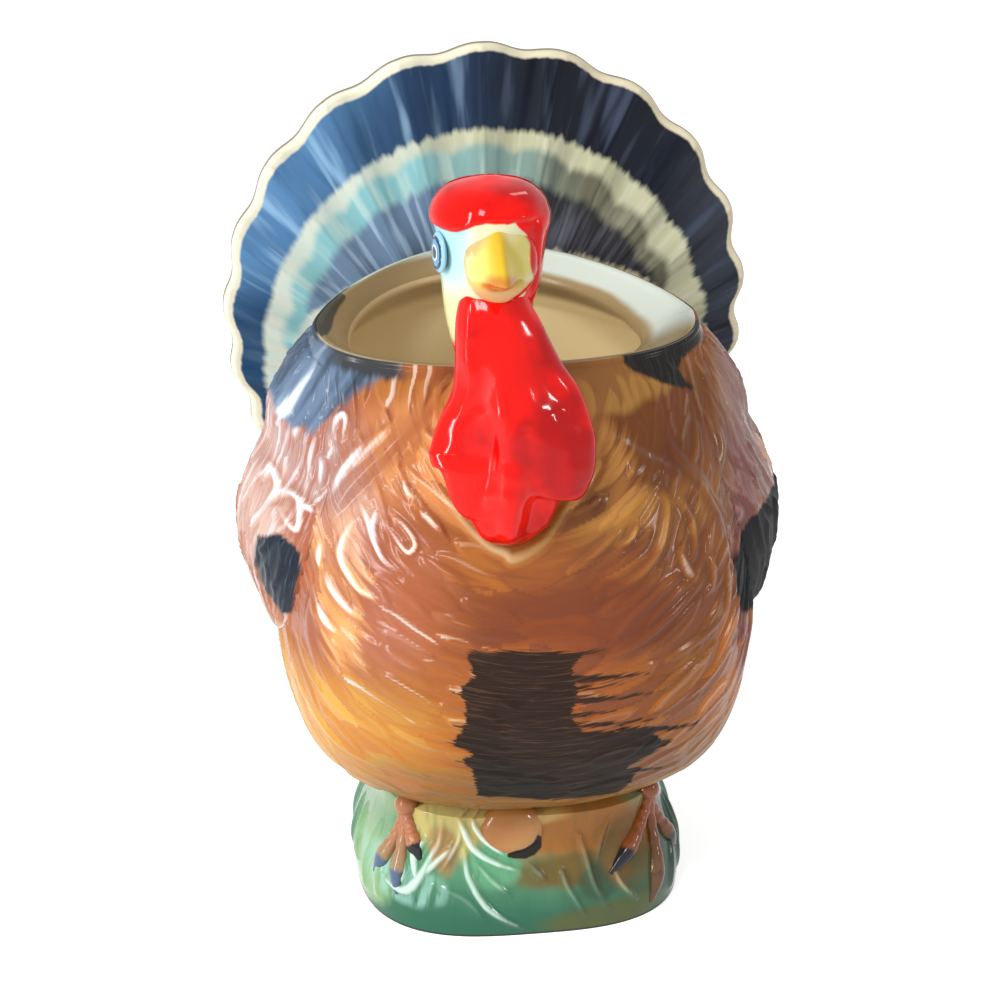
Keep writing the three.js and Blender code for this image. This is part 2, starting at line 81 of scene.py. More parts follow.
def normals(grid, closed):
    """Unit normals of a grid of points, outwards where its columns run anticlockwise from above."""
    if closed:
        around = np.roll(grid, -1, 1) - np.roll(grid, 1, 1)
    else:
        around = np.gradient(grid, axis=1)
    n = np.cross(around, np.gradient(grid, axis=0))
    return n / np.maximum(np.linalg.norm(n, axis=2, keepdims=True), 1e-9)


class Shape:
    """Points, faces and named values of a piece, added grid by grid."""

    def __init__(self):
        self.points, self.faces, self.finish, self.values = [], [], [], {}
        self.count = 0

    def add(self, grid, closed=True, caps=True, finish=0, **values):
        rows, cols = grid.shape[:2]
        at = self.count + np.arange(rows * cols).reshape(rows, cols)
        nxt = np.roll(at, -1, 1) if closed else at[:, 1:]
        low = at if closed else at[:, :-1]
        quads = np.stack([low[:-1], nxt[:-1], nxt[1:], low[1:]], -1).reshape(-1, 4)
        per_row = quads.shape[0] // (rows - 1)
        kinds = np.repeat(np.broadcast_to(finish, rows - 1), per_row)
        self.faces += quads.tolist()
        self.finish += kinds.tolist()
        flat = grid.reshape(-1, 3)
        extra = []
        if caps:
            for ring, row, kind in ((at[0][::-1], grid[0], kinds[0]), (at[-1], grid[-1], kinds[-1])):
                middle = self.count + rows * cols + len(extra)
                extra.append(row.mean(0))
                self.faces += [[int(p), int(q), middle] for p, q in zip(ring, np.roll(ring, -1))]
                self.finish += [int(kind)] * len(ring)
        self.points.append(np.vstack([flat, *extra]) if extra else flat)
        n = len(flat) + len(extra)
        for key, v in values.items():
            v = np.asarray(v, float).reshape(rows * cols, -1)
            if extra:
                v = np.vstack([v, v[:cols].mean(0), v[-cols:].mean(0)])
            self.values.setdefault(key, []).append((self.count, v))
        self.count += n

    def build(self, name, materials, nodes, slot):
        me = bpy.data.meshes.new(name)
        points = np.vstack(self.points)
        me.from_pydata(((points + [shift_x, shift_y, 0]) * 0.001).tolist(), [], self.faces)
        me.polygons.foreach_set("use_smooth", [True] * len(me.polygons))
        for m in materials:
            me.materials.append(m)
        me.polygons.foreach_set("material_index", self.finish)
        for key, parts in self.values.items():
            width = parts[0][1].shape[1]
            full = np.zeros((self.count, width))
            for start, v in parts:
                full[start:start + len(v)] = v
            kind = ("FLOAT", "value") if width == 1 else ("FLOAT_VECTOR", "vector")
            me.attributes.new(key, kind[0], "POINT").data.foreach_set(kind[1], full.ravel())
        me.update()
        o = bpy.data.objects.new(name, me)
        bpy.context.scene.collection.objects.link(o)
        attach(o, "root")
        if nodes:
            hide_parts(*nodes)
        return o


# Paints, as graphs of nodes.
def rgb(*color):
    """A linear colour with its alpha, from red, green and blue of 0 to 255."""
    return (*(((c / 255 + 0.055) / 1.055) ** 2.4 if c > 10 else c / 255 / 12.92 for c in color), 1)


class Wire:
    """An output of a node, for sums as with a number."""

    def __init__(self, paint, socket):
        self.paint, self.socket = paint, socket

    def __add__(self, other):
        return self.paint.math("ADD", self, other)

    def __sub__(self, other):
        return self.paint.math("SUBTRACT", self, other)

    def __rsub__(self, other):
        return self.paint.math("SUBTRACT", other, self)

    def __mul__(self, other):
        return self.paint.math("MULTIPLY", self, other)

    def step(self, lo, hi):
        """0 at lo and 1 at hi, with a soft change between them. hi may be the lower."""
        n = self.paint.node("ShaderNodeMapRange", interpolation_type="SMOOTHSTEP", clamp=True)
        self.paint.put(n.inputs["Value"], self)
        ends = (lo, hi, 0, 1) if hi > lo else (hi, lo, 1, 0)
        for name, value in zip(("From Min", "From Max", "To Min", "To Max"), ends):
            n.inputs[name].default_value = value
        return Wire(self.paint, n.outputs["Result"])


class Paint:
    """A material of one shader. Colours are of 0 to 255 for each of red, green and blue."""

    def __init__(self, name, rough=0.16, specular=0.25):
        self.mat = bpy.data.materials.new(name)
        self.mat.use_nodes = True
        self.tree = self.mat.node_tree
        self.tree.nodes.clear()
        out = self.node("ShaderNodeOutputMaterial")
        self.shader = self.node("ShaderNodeBsdfPrincipled")
        self.tree.links.new(self.shader.outputs[0], out.inputs[0])
        self.put(self.shader.inputs["Roughness"], rough)
        self.put(self.shader.inputs["Specular IOR Level"], specular)

    def node(self, kind, **settings):
        n = self.tree.nodes.new(kind)
        for k, v in settings.items():
            setattr(n, k, v)
        return n

    def put(self, socket, value):
        if isinstance(value, Wire):
            self.tree.links.new(value.socket, socket)
        else:
            socket.default_value = value

    def math(self, op, a, b=0.0):
        n = self.node("ShaderNodeMath", operation=op)
        self.put(n.inputs[0], a)
        self.put(n.inputs[1], b)
        return Wire(self, n.outputs[0])

    def most(self, *values):
        out = values[0]
        for v in values[1:]:
            out = self.math("MAXIMUM", out, v)
        return out

    def value(self, name):
        """A named value of the mesh."""
        return Wire(self, self.node("ShaderNodeAttribute", attribute_name=name).outputs["Fac"])

    def vector(self, name):
        return Wire(self, self.node("ShaderNodeAttribute", attribute_name=name).outputs["Vector"])

    def parts(self, name):
        """The three numbers of a named vector of the mesh."""
        n = self.node("ShaderNodeSeparateXYZ")
        self.put(n.inputs[0], self.vector(name))
        return [Wire(self, s) for s in n.outputs]

    def pair(self, a, b):
        n = self.node("ShaderNodeCombineXYZ")
        self.put(n.inputs[0], a)
        self.put(n.inputs[1], b)
        return Wire(self, n.outputs[0])

    def noise(self, vector, scale, detail=2.0, rough=0.5):
        """Noise about 0, over a vector or the name of one, its waves 1 / scale long."""
        m = self.node("ShaderNodeVectorMath", operation="MULTIPLY")
        self.put(m.inputs[0], self.vector(vector) if isinstance(vector, str) else vector)
        m.inputs[1].default_value = scale if isinstance(scale, tuple) else (scale,) * 3
        n = self.node("ShaderNodeTexNoise")
        self.put(n.inputs["Vector"], Wire(self, m.outputs[0]))
        for name, value in (("Scale", 1), ("Detail", detail), ("Roughness", rough)):
            n.inputs[name].default_value = value
        return Wire(self, n.outputs[0]) - 0.5

    def blot(self, x, z, cx, cz, rx, rz, rough=0.0):
        """1 inside an oval and 0 outside it, its edge moved by a rough value."""
        dx, dz = (x - cx) * (1 / rx), (z - cz) * (1 / rz)
        return (self.math("SQRT", dx * dx + dz * dz) + rough).step(1.25, 0.7)

    def lay(self, c, x, z, spots, rough=0.0, amount=1.0):
        """The colour c with ovals of colour on it: middle, radii, amount and colour."""
        for cx, cz, rx, rz, share, color in spots:
            c = self.mix(self.blot(x, z, cx, cz, rx, rz, rough) * share * amount, c, color)
        return c

    def mix(self, factor, a, b, blend="MIX"):
        n = self.node("ShaderNodeMix", data_type="RGBA", blend_type=blend)
        a, b = (rgb(*v) if isinstance(v, tuple) and len(v) == 3 else v for v in (a, b))
        for k, v in ((0, factor), (6, a), (7, b)):
            self.put(n.inputs[k], v)
        return Wire(self, n.outputs[2])

    def matt(self, amount, gloss):
        """The roughness: gloss, and more by the amount."""
        self.put(self.shader.inputs["Roughness"], amount * 0.4 + gloss)

    def color(self, value):
        self.put(self.shader.inputs["Base Color"], value)
        return self.mat


# Body.
body_shares = [
    [0, 0.64, 0.52, 0.74],
    [0.05, 0.815, 0.68, 0.86],
    [0.12, 0.94, 0.83, 0.93],
    [0.24, 1.01, 0.95, 0.98],
    [0.38, 1.03, 1, 1],
    [0.53, 1.005, 0.975, 1],
    [0.68, 0.97, 0.87, 1],
    [0.82, 0.92, 0.71, 1],
    [0.92, 0.87, 0.53, 1],
    [1, 0.825, 0.375, 1],
]
rim_reach = breast_reach * body_shares[-1][2]


def squared(a, power):
    return (np.abs(np.sin(a)) ** power + np.abs(np.cos(a)) ** power) ** (-1 / power)


def rise_at(a):
    return rim_back_rise * ((1 - np.cos(a)) / 2) ** 1.2


def body_point(a, t):
    a, t = np.broadcast_arrays(np.asarray(a, float), np.asarray(t, float))
    s, c = np.sin(a), np.cos(a)
    back = body_square + (rim_back_square - body_square) * smooth(t, 0.7, 1)
    k = squared(a, np.where(c > 0, body_square, back))
    ahead, behind = (column(body_shares, col, t) for col in (2, 3))
    reach = np.where(c > 0, breast_reach * ahead, back_reach * behind)
    height = column(body_shares, 0, t) * (body_height + rise_at(a))
    x = body_half_width * column(body_shares, 1, t) * k * s + rim_side * t**rim_side_growth
    return np.stack([x, -reach * k * c, deck + height], -1)


def mouth_point(a, up):
    """The edge of the opening, by its height from the rim."""
    s, c = np.sin(a), np.cos(a)
    k = squared(a, np.where(c > 0, body_square, (body_square + rim_back_square) / 2))
    reach = np.where(c > 0, mouth_front, mouth_back)
    x, z = mouth_side + mouth_half_width * k * s, rim_height + rise_at(a) + up
    return np.stack([x, -reach * k * c, z], -1)


def body_normal(a, t):
    e = 1e-3
    around = body_point(a + e, t) - body_point(a - e, t)
    up = body_point(a, np.minimum(t + e, 1)) - body_point(a, np.maximum(t - e, 0))
    n = np.cross(around, up)
    return n / np.linalg.norm(n, axis=-1, keepdims=True)


# The part's source centres its box on the axis. These are the same shifts.
vessel_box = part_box("body_vessel")
ring_angles, ring_heights = np.meshgrid(np.arange(64) * turn / 64, np.linspace(0, 1, 13))
shift_x = vessel_box[1].x * 1000 - float(body_point(ring_angles, ring_heights)[..., 0].max())
shift_y = vessel_box[1].y * 1000 - float(body_point(math.pi, np.linspace(0, 1, 13))[:, 1].max())


def stroke_relief(along, across, spans, seeds):
    """Petal-shaped strokes on a surface: their height, their tone and how near a point is to a raised rim.

    spans scales along for each seed, which is along, across, half length, half width, height, yaw, tone."""
    height, tone, rim = np.full(across.shape, 0.02), np.zeros_like(across), np.zeros_like(across)
    for span, (u0, v0, length, width, high, yaw, shade) in zip(spans, seeds):
        near = np.abs(across - v0) < 1.6 * width + abs(yaw) * length
        near &= np.abs(along - u0) * span < length * 1.15
        if not near.any():
            continue
        du = (along[near] - u0) * span / length
        dv = (across[near] - v0 - yaw * du * length) / (width * np.sqrt(np.clip(1.15 - du * du, 0.05, 1)))
        oval = np.sqrt(np.abs(du) ** 3 + dv * dv)
        edge = np.exp(-(((oval - 0.8) / 0.32) ** 2)) * np.where(dv < 0, 1, 0.45)
        got = high * (0.3 * np.clip(1 - oval**2, 0, 1) + 0.85 * edge) * (oval < 1.6)
        over = got > height[near]
        tone[near] = np.where(over, shade, tone[near])
        rim[near] = np.where(over, edge, rim[near])
        height[near] = np.maximum(height[near], got)
    return height, tone, rim


def depth_inside(x, z, outline):
    """Distance from a closed outline, positive inside it."""
    inside = np.zeros(x.shape, bool)
    best = np.full(x.shape, 1e9)
    for (x0, z0), (x1, z1) in zip(outline, outline[1:] + outline[:1]):
        ex, ez = x1 - x0, z1 - z0
        f = np.clip(((x - x0) * ex + (z - z0) * ez) / (ex * ex + ez * ez), 0, 1)
        best = np.minimum(best, np.hypot(x - x0 - f * ex, z - z0 - f * ez))
        inside ^= ((z0 > z) != (z1 > z)) & (x < x0 + (z - z0) * ex / (ez if ez else 1e-9))
    return np.where(inside, best, -best)


# How far a drawn ridge is reckoned, and how far it calms the strokes beside it.
ridge_range, ridge_calm = 5, 2.6


def drawn(x, z, strokes):
    """Ridges drawn over the front: their height, the strength of the painted highlight on a crest and how
    near a point is to one.
    """
    height, pale, near = np.zeros_like(x), np.zeros_like(x), np.zeros_like(x)
    for points, half, high, light in strokes:
        steps = np.linspace(0, 1, 5 * len(points))
        line = np.stack([spline([q[k] for q in points], steps) for k in (0, 1)], -1)
        lo, hi = line.min(0) - ridge_range, line.max(0) + ridge_range
        box = (x > lo[0]) & (x < hi[0]) & (z > lo[1]) & (z < hi[1])
        if not box.any():
            continue
        px, pz = x[box], z[box]
        best, where = np.full(px.shape, 99.0), np.zeros(px.shape)
        for k in range(len(line) - 1):
            (x0, z0), (x1, z1) = line[k], line[k + 1]
            ex, ez = x1 - x0, z1 - z0
            f = np.clip(((px - x0) * ex + (pz - z0) * ez) / max(ex * ex + ez * ez, 1e-9), 0, 1)
            off = np.hypot(px - x0 - f * ex, pz - z0 - f * ez)
            where = np.where(off < best, (k + f) / (len(line) - 1), where)
            best = np.minimum(best, off)
        taper = np.sin(math.pi * np.clip(where, 0.04, 0.96)) ** 0.5
        crest = taper * np.exp(-((best / (half * (0.5 + 0.5 * taper))) ** 2))
        height[box] = np.maximum(height[box], high * crest)
        pale[box] = np.maximum(pale[box], light * crest)
        near[box] = np.maximum(near[box], taper * np.exp(-((best / ridge_calm) ** 2)))
    return height, pale, near


# Strokes of the breast, shoulders and wings: points across and up, half width, height, and the strength of
# the painted highlight on the crest.
strokes = [
    ([(-35.8, 95.8), (-37.9, 91.5), (-38.4, 88.2), (-37.3, 85.5), (-35.1, 83.1),
      (-31.3, 82.4)], 0.8, 0.8, 1),
    ([(-35.0, 99.1), (-33.5, 96.8), (-32.4, 92.8), (-30.9, 89.7), (-27.9, 87.7)], 0.7, 0.8, 1),
    ([(-31.6, 98.4), (-32.5, 95.3), (-32.1, 91.8)], 0.6, 0.6, 1),
    ([(-30.3, 98.2), (-27.3, 96.6), (-25.1, 93.5), (-26.6, 91.8), (-28.8, 94.2),
      (-30.5, 96.1)], 0.6, 0.7, 1),
    ([(-24.0, 99.0), (-22.2, 97.7), (-20.5, 95.8)], 0.7, 0.6, 1),
    ([(-26.7, 104.1), (-25.9, 101.9), (-24.7, 100.9)], 0.6, 0.6, 1),
    ([(-41.1, 85.2), (-40.4, 81.9), (-38.0, 79.3), (-35.9, 78.2)], 0.9, 0.8, 1),
    ([(-42.7, 89.4), (-43.3, 85.4), (-42.6, 84.5)], 0.7, 0.5, 1),
    ([(-42.7, 78.4), (-42.0, 75.0), (-39.9, 73.2)], 0.9, 0.8, 1),
    ([(-24.6, 91.2), (-20.3, 89.0), (-15.4, 85.7)], 1.6, 0.8, 0.45),
    ([(-22.0, 81.3), (-17.7, 80.0), (-12.6, 78.7)], 1.3, 0.6, 0.45),
    ([(-32.5, 73.5), (-28.5, 71.5), (-23.8, 69.9)], 1.3, 0.7, 0.5),
    ([(-23.1, 73.3), (-19.0, 73.1), (-14.9, 72.1)], 1.1, 0.5, 0.4),
    ([(-37.4, 103.4), (-32.6, 108.2), (-27.1, 113.0)], 0.9, 0.7, 0.7),
    ([(-40.3, 98.3), (-38.2, 102.7), (-35.3, 106.6), (-33.3, 109.0)], 0.9, 0.8, 0.9),
    ([(-39.3, 108.5), (-38.5, 111.5), (-37.0, 112.9), (-36.8, 111.4), (-37.9, 108.7)], 0.7, 0.7, 1),
    ([(-42.1, 109.3), (-43.5, 104.8), (-44.4, 100.3)], 0.8, 0.7, 0.8),
    ([(-41.9, 105.3), (-41.6, 102.9), (-42.3, 99.2)], 0.8, 0.7, 0.8),
    ([(-45.6, 110.1), (-46.8, 106.8)], 0.9, 0.5, 0.8),
    ([(-53.3, 96.4), (-51.2, 99.1), (-50.4, 96.4), (-52.5, 93.1)], 0.8, 0.6, 1),
    ([(-50.7, 95.1), (-48.2, 96.7), (-46.2, 95.5), (-46.9, 90.2), (-48.7, 90.9),
      (-50.3, 92.9)], 0.8, 0.6, 1),
    ([(-46.2, 95.5), (-43.4, 94.3)], 0.8, 0.5, 1),
    ([(-42.9, 85.6), (-40.6, 94.2), (-37.7, 99.9), (-32.3, 105.5), (-24.7, 112.4),
      (-19.0, 116.2)], 1.6, 1.0, 0.25),
    ([(-42.6, 57.8), (-44.6, 65.4), (-45.3, 73.2), (-44.2, 80.9)], 1.0, 0.5, 0.2),
    ([(26.9, 107.2), (28.5, 104.1), (32.0, 100.4), (34.7, 95.8), (37.4, 91.2),
      (39.0, 85.7)], 1.6, 1.0, 0.35),
    ([(22.5, 100.9), (24.4, 98.2), (24.0, 94.8), (22.2, 90.4), (19.0, 87.4), (15.3, 85.6),
      (9.2, 84.0)], 0.9, 0.8, 0.5),
    ([(26.8, 98.8), (29.4, 94.0), (29.8, 88.4), (28.3, 87.1)], 0.8, 0.8, 0.4),
    ([(13.9, 92.1), (16.5, 93.2), (18.3, 95.9)], 0.7, 0.7, 0.6),
    ([(14.7, 95.2), (12.0, 93.3), (7.9, 90.7), (3.8, 88.8)], 0.9, 0.6, 0.35),
    ([(8.0, 99.2), (10.1, 100.2), (11.4, 101.2)], 0.6, 0.5, 0.5),
    ([(26.6, 89.4), (27.9, 85.6), (29.5, 83.6)], 0.9, 0.7, 0.8),
    ([(33.4, 86.6), (33.9, 82.6), (33.2, 79.9)], 0.8, 0.7, 0.6),
    ([(37.2, 83.1), (37.5, 78.0), (37.0, 73.9)], 0.8, 0.7, 0.6),
    ([(31.8, 82.8), (23.6, 77.8), (15.3, 73.6), (8.3, 71.9)], 0.9, 0.7, 0.4),
    ([(36.7, 73.5), (30.4, 71.3), (23.4, 69.3)], 0.9, 0.6, 0.3),
    ([(39.9, 66.4), (34.4, 62.6), (28.3, 59.2)], 0.9, 0.6, 0.3),
    ([(33.0, 110.3), (32.6, 105.4), (30.1, 102.4)], 1.0, 0.7, 0.5),
    ([(37.7, 108.3), (39.2, 104.4), (38.5, 99.7)], 0.9, 0.7, 0.4),
    ([(26.8, 108.1), (27.3, 105.5), (30.4, 101.5)], 0.8, 0.6, 0.4),
    ([(40.3, 93.2), (43.0, 89.5), (41.2, 87.1)], 0.9, 0.6, 0.6),
    ([(-47.7, 66.5), (-45.3, 60.4), (-39.9, 55.9), (-33.5, 54.1)], 0.9, 0.6, 0.3),
    ([(-44.5, 66.6), (-41.6, 61.0), (-36.2, 57.2)], 0.9, 0.6, 0.3),
    ([(-39.4, 72.8), (-36.0, 68.2), (-29.6, 63.6), (-22.2, 61.6)], 1.0, 0.6, 0.35),
    ([(-46.3, 52.3), (-40.9, 46.6), (-32.4, 44.4)], 0.9, 0.5, 0.3),
    ([(-30.7, 56.3), (-24.1, 53.4), (-18.4, 53.1)], 1.0, 0.4, 0.3),
]
# The raised collar under the wattle, in the same columns; its paleness is a painted highlight on its crest.
collar = [([(-23, 108), (-20.1, 102.9), (-17.2, 99.4), (-13.8, 95.9), (-11.1, 93.8), (-8.3, 92.6),
    (-7, 91.6), (-3.9, 92.5), (-0.8, 94.3), (1.8, 97), (4.7, 100.3), (8.4, 103.6),
    (11.1, 106.1)], 1.1, 1.0, 0.5)]
left_tip_outline = [(45.7, 87.6), (42.6, 84.4), (40.4, 82), (39.7, 78.5), (40.7, 74.1), (43.4, 69.6),
    (50.6, 63.6), (58, 68), (60, 78), (60, 90), (54.5, 90.5), (50, 89.4)]
right_tip_outline = [(-54.5, 85.6), (-50.7, 88.1), (-48.4, 86.9), (-46.7, 85.1), (-46.8, 80.7),
    (-47.9, 75.4), (-48.8, 69.9), (-50.2, 68.5), (-52.9, 71.9), (-54.7, 75.1), (-55.5, 79.6),
    (-55.2, 83.1)]
black_outline = [(19, 121.3), (22.8, 127), (37.8, 129), (38.5, 121.8), (35.3, 121.1), (32.6, 120.2),
    (30.9, 118.8), (32.4, 116.9), (34.4, 114.3), (30.7, 115.6), (26.8, 116.9), (23.4, 118.5),
    (20.4, 119.9)]
slate_outline = [(-23.5, 121.9), (-30.6, 119.2), (-35.3, 114.9), (-39.4, 110.8), (-43.5, 108.4),
    (-47.3, 107.5), (-50.2, 110.1), (-56, 113), (-56, 127), (-24, 128)]


# Where the shoulders' patches begin to run out towards the back, and how much for each millimetre.
shoulder_end, patch_taper = 5, 0.9


def patches(x, y, z, tip_end):
    """Depth inside the two wing tips together, the black patch and the slate patch."""
    tips = np.maximum(depth_inside(x, z, left_tip_outline), depth_inside(x, z, right_tip_outline))
    black, slate = (depth_inside(x, z, outline) for outline in (black_outline, slate_outline))
    found = [(tips, tip_end), (black, shoulder_end), (slate, shoulder_end)]
    return np.stack([v - patch_taper * np.maximum(y - end, 0) for v, end in found], -1)


breast_outline = [(-20, 111), (-23, 109), (-27, 107), (-31, 103.5), (-35, 99), (-38, 95), (-41, 89),
    (-43.7, 82), (-45.5, 74.5), (-47, 66), (-70, 50), (-60, 20), (60, 20), (70, 50), (42, 68),
    (40.5, 78), (38.7, 86), (36.3, 92.4), (33.7, 97), (30.5, 101), (26.8, 104), (22.3, 106),
    (17.4, 109), (12.6, 111)]
beard_outline = [(-16.3, 74.8), (-6, 75.2), (6.5, 74.2), (3.6, 71), (5, 66), (3.8, 61), (6, 57),
    (20, 55), (25, 49), (17, 45), (19, 42), (16, 35.6), (2.7, 36.6), (-13.8, 39.6), (-15.2, 47.4),
    (-17.4, 50.2), (-15.6, 52), (-19.6, 54), (-17.4, 58.4), (-16.6, 63.6), (-18.2, 66.8), (-15.4, 70),
    (-16.2, 73)]
# The beard's brush ends: start, end and half width.
beard_fingers = [(0, 73.6, 10.5, 74, 0.5), (0, 69, 19.5, 67.8, 0.8), (2, 66.8, 14, 66.6, 0.5),
    (2, 64.4, 20.5, 63.2, 0.75), (0, 61.4, 13, 60.6, 0.6), (4, 58.6, 21, 57, 0.7),
    (14, 56, 32, 51.6, 1.1), (16, 51.6, 26, 49.4, 0.9), (12, 45.2, 24.5, 41.8, 1.2),
    (14, 48, 21, 47.4, 0.8), (-12, 53.4, -20.6, 54.4, 0.7), (-12, 66, -19.4, 66.6, 0.7),
    (-10, 49.6, -18.6, 50, 0.6), (-10, 58, -19, 58.8, 0.5)]


# The dark crescent under the knoll.
crescent_outline = [(-5.7, 18.0), (-4.1, 18.9), (-2.0, 19.2), (-0.2, 20.3), (0.7, 22.1), (1.6, 20.9),
    (1.5, 18.9), (0.0, 17.5), (-2.0, 16.8), (-4.5, 17.0), (-5.8, 17.6)]
# The black dab on the left of the ledge, seen from above.
ledge_black = [(-46, 4), (-45, -6), (-41, -6), (-39.2, -3), (-38.2, 1), (-37.3, 6), (-36, 10),
    (-34.2, 14), (-38, 18), (-43, 14)]

# Strokes in rows round the middle of the breast's upper edge: pitches along and between the rows.
breast_drop, stroke_pitch, row_pitch = 8, 15.5, 3.9
inset, fold_height, fold_width, ledge_round = 0.12, 1.15, 11, 0.5


def body():
    rows, cols = 270, 720
    u = np.linspace(0, turn, cols, endpoint=False)
    a = u - 0.32 * np.sin(u)
    a2, t2 = np.meshgrid(a, np.linspace(0, 1, rows))
    p = body_point(a2, t2)
    n = body_normal(a2, t2)
    ring = np.linalg.norm(np.roll(p, -1, 1) - p, axis=2)
    s = np.concatenate([np.zeros((rows, 1)), np.cumsum(ring, 1)[:, :-1]], 1)
    s = np.where(u[None, :] > math.pi, s - ring.sum(1, keepdims=True), s)
    lengths = np.linalg.norm(np.diff(p, axis=0), axis=2)
    drop = np.concatenate([lengths[::-1].cumsum(0)[::-1], np.zeros((1, cols))])
    below = drop - breast_drop
    r = np.hypot(s, below)
    phi = np.arctan2(s, below)
    seeds, spans = [], []
    for k, r0 in enumerate(np.arange(9, 175, row_pitch)):
        step = stroke_pitch / r0
        for j in np.arange(-2.2 / step, 2.2 / step):
            f0 = (j + 0.5 * (k % 2) + rng.uniform(-0.35, 0.35)) * step
            sway = -np.sign(f0) * rng.uniform(-0.05, 0.16)
            seeds.append((f0, r0 + rng.uniform(-1.2, 1.2), rng.uniform(6, 11), rng.uniform(1.3, 2.3),
                          rng.uniform(0.4, 1.15), sway, rng.uniform(-1, 1)))
            spans.append(r0)
    relief, tone, crest = stroke_relief(phi, r, spans, seeds)
    x, z = p[..., 0], p[..., 2]
    front = smooth(-p[..., 1], -4, 14)
    calm = np.exp(-((x / 13) ** 4) - (((z - 86) / 16) ** 4))
    low = smooth(z, 66, 52)
    chest = smooth(z, 100, 108) * smooth(-np.abs(x - 8), -20, -12)
    bold = 1 - 0.8 * front * np.maximum(np.maximum(calm, 0.75 * low), 0.8 * chest)
    relief *= smooth(t2, 0.02, 0.12) * smooth(drop, 0.6, 5) * bold
    d = depth_inside(x, z, breast_outline)
    fold = fold_height * smooth(d, -1.2, 1.6) * np.exp(-np.maximum(d, 0) / fold_width)
    fold -= 0.15 * np.exp(-(((d + 1) / 1.1) ** 2))
    fold *= front * smooth(z, 62, 78) * smooth(np.abs(x), 10, 19)
    ridge, pale, near = drawn(x, z, strokes)
    facing = p[..., 1] < 12
    ridge, pale, near = (np.where(facing, v, 0) for v in (ridge, pale, near))
    relief = np.maximum(relief * (1 - 0.75 * near), 1.15 * ridge)
    raised, light, beside = (np.where(facing, v, 0) for v in drawn(x, z, collar))
    relief = np.maximum(relief * (1 - beside), raised)
    outer = p + n * (relief + fold - inset)[..., None]
    rim_n = body_normal(a, 1.0)
    rim_n[:, 2] = 0
    rim_n /= np.linalg.norm(rim_n, axis=1, keepdims=True)
    rim = p[-1]

    def lip(inwards, up):
        return rim - rim_n * inwards + np.array([0, 0, up])

    rounding = [lip(rim_round * (1 - math.cos(w)), rim_round * math.sin(w))
                for w in np.linspace(0, math.pi / 2, 7)[1:]]
    start, edge = lip(rim_round * 1.8, rim_round), mouth_point(a, -ledge_drop)
    ledge = [start + (edge - start) * f for f in np.linspace(0, 1, 14)]
    centre = np.array([mouth_side, 0, 0])
    pull = (edge - centre) * [1, 1, 0]
    pull /= np.linalg.norm(pull, axis=1, keepdims=True)
    nose = [edge - pull * (ledge_round * math.sin(w)) - [0, 0, ledge_nose * w / math.pi]
            for w in np.linspace(0, math.pi, 7)[1:]]
    cavity = [body_point(a, share) - body_normal(a, share) * wall for share in np.linspace(0.86, 0.14, 40)]
    floor = body_point(a, 0.0)
    floor[:, 2] = deck + wall
    inner = np.stack([*rounding, *ledge, *nose, *cavity, floor * [0.7, 0.7, 1]])
    grid = np.concatenate([outer, inner])
    extra = len(inner)

    def inwards(outside):
        """Values of the outside, held inside as they are at the rim."""
        return np.concatenate([outside, np.repeat(outside[-1:], extra, 0)])

    finish = np.zeros(len(grid) - 1, int)
    finish[rows + len(rounding) - 1:] = 1
    crest *= bold * (1 - near)
    beard = depth_inside(x, z, beard_outline)
    for x0, z0, x1, z1, half in beard_fingers:
        f = (x - x0) / (x1 - x0)
        side = np.abs(z - z0 - (z1 - z0) * np.clip(f, 0, 1))
        side += np.maximum(np.abs(f - 0.5) - 0.5, 0) * abs(x1 - x0)
        beard = np.maximum(beard, half * np.clip(1.25 - f, 0.25, 1) - side)
    marks = inwards(np.stack([np.where(p[..., 1] < 0, beard, -40), crest, tone], -1))
    marks[rows:, :, 0] = depth_inside(inner[..., 0], inner[..., 1], ledge_black)
    onto_rim = -np.minimum(np.arange(1, extra + 1) / len(rounding), 1)
    below_rim = np.concatenate([drop, np.repeat(onto_rim[:, None], cols, 1)])
    mouth = np.zeros((len(grid), cols))
    mouth[rows:] = np.linalg.norm(inner - rim, axis=2) / np.linalg.norm(edge - rim, axis=1)
    mouth[rows + len(rounding) + len(ledge):] = 1.1
    mouth[rows + len(rounding) + len(ledge) + len(nose):] = 1.3
    shape = Shape()
    # drawn holds the strokes' painted highlight, how near they are, and the collar's painted highlight.
    shape.add(grid, finish=finish, flow=inwards(np.stack([phi * r, r, relief], -1)), place=grid,
              drop=below_rim, marks=marks, mouth=mouth, ink=inwards(patches(x, p[..., 1], z, -5)),
              drawn=inwards(np.stack([pale, near * (1 - beside), light], -1)))
    return shape


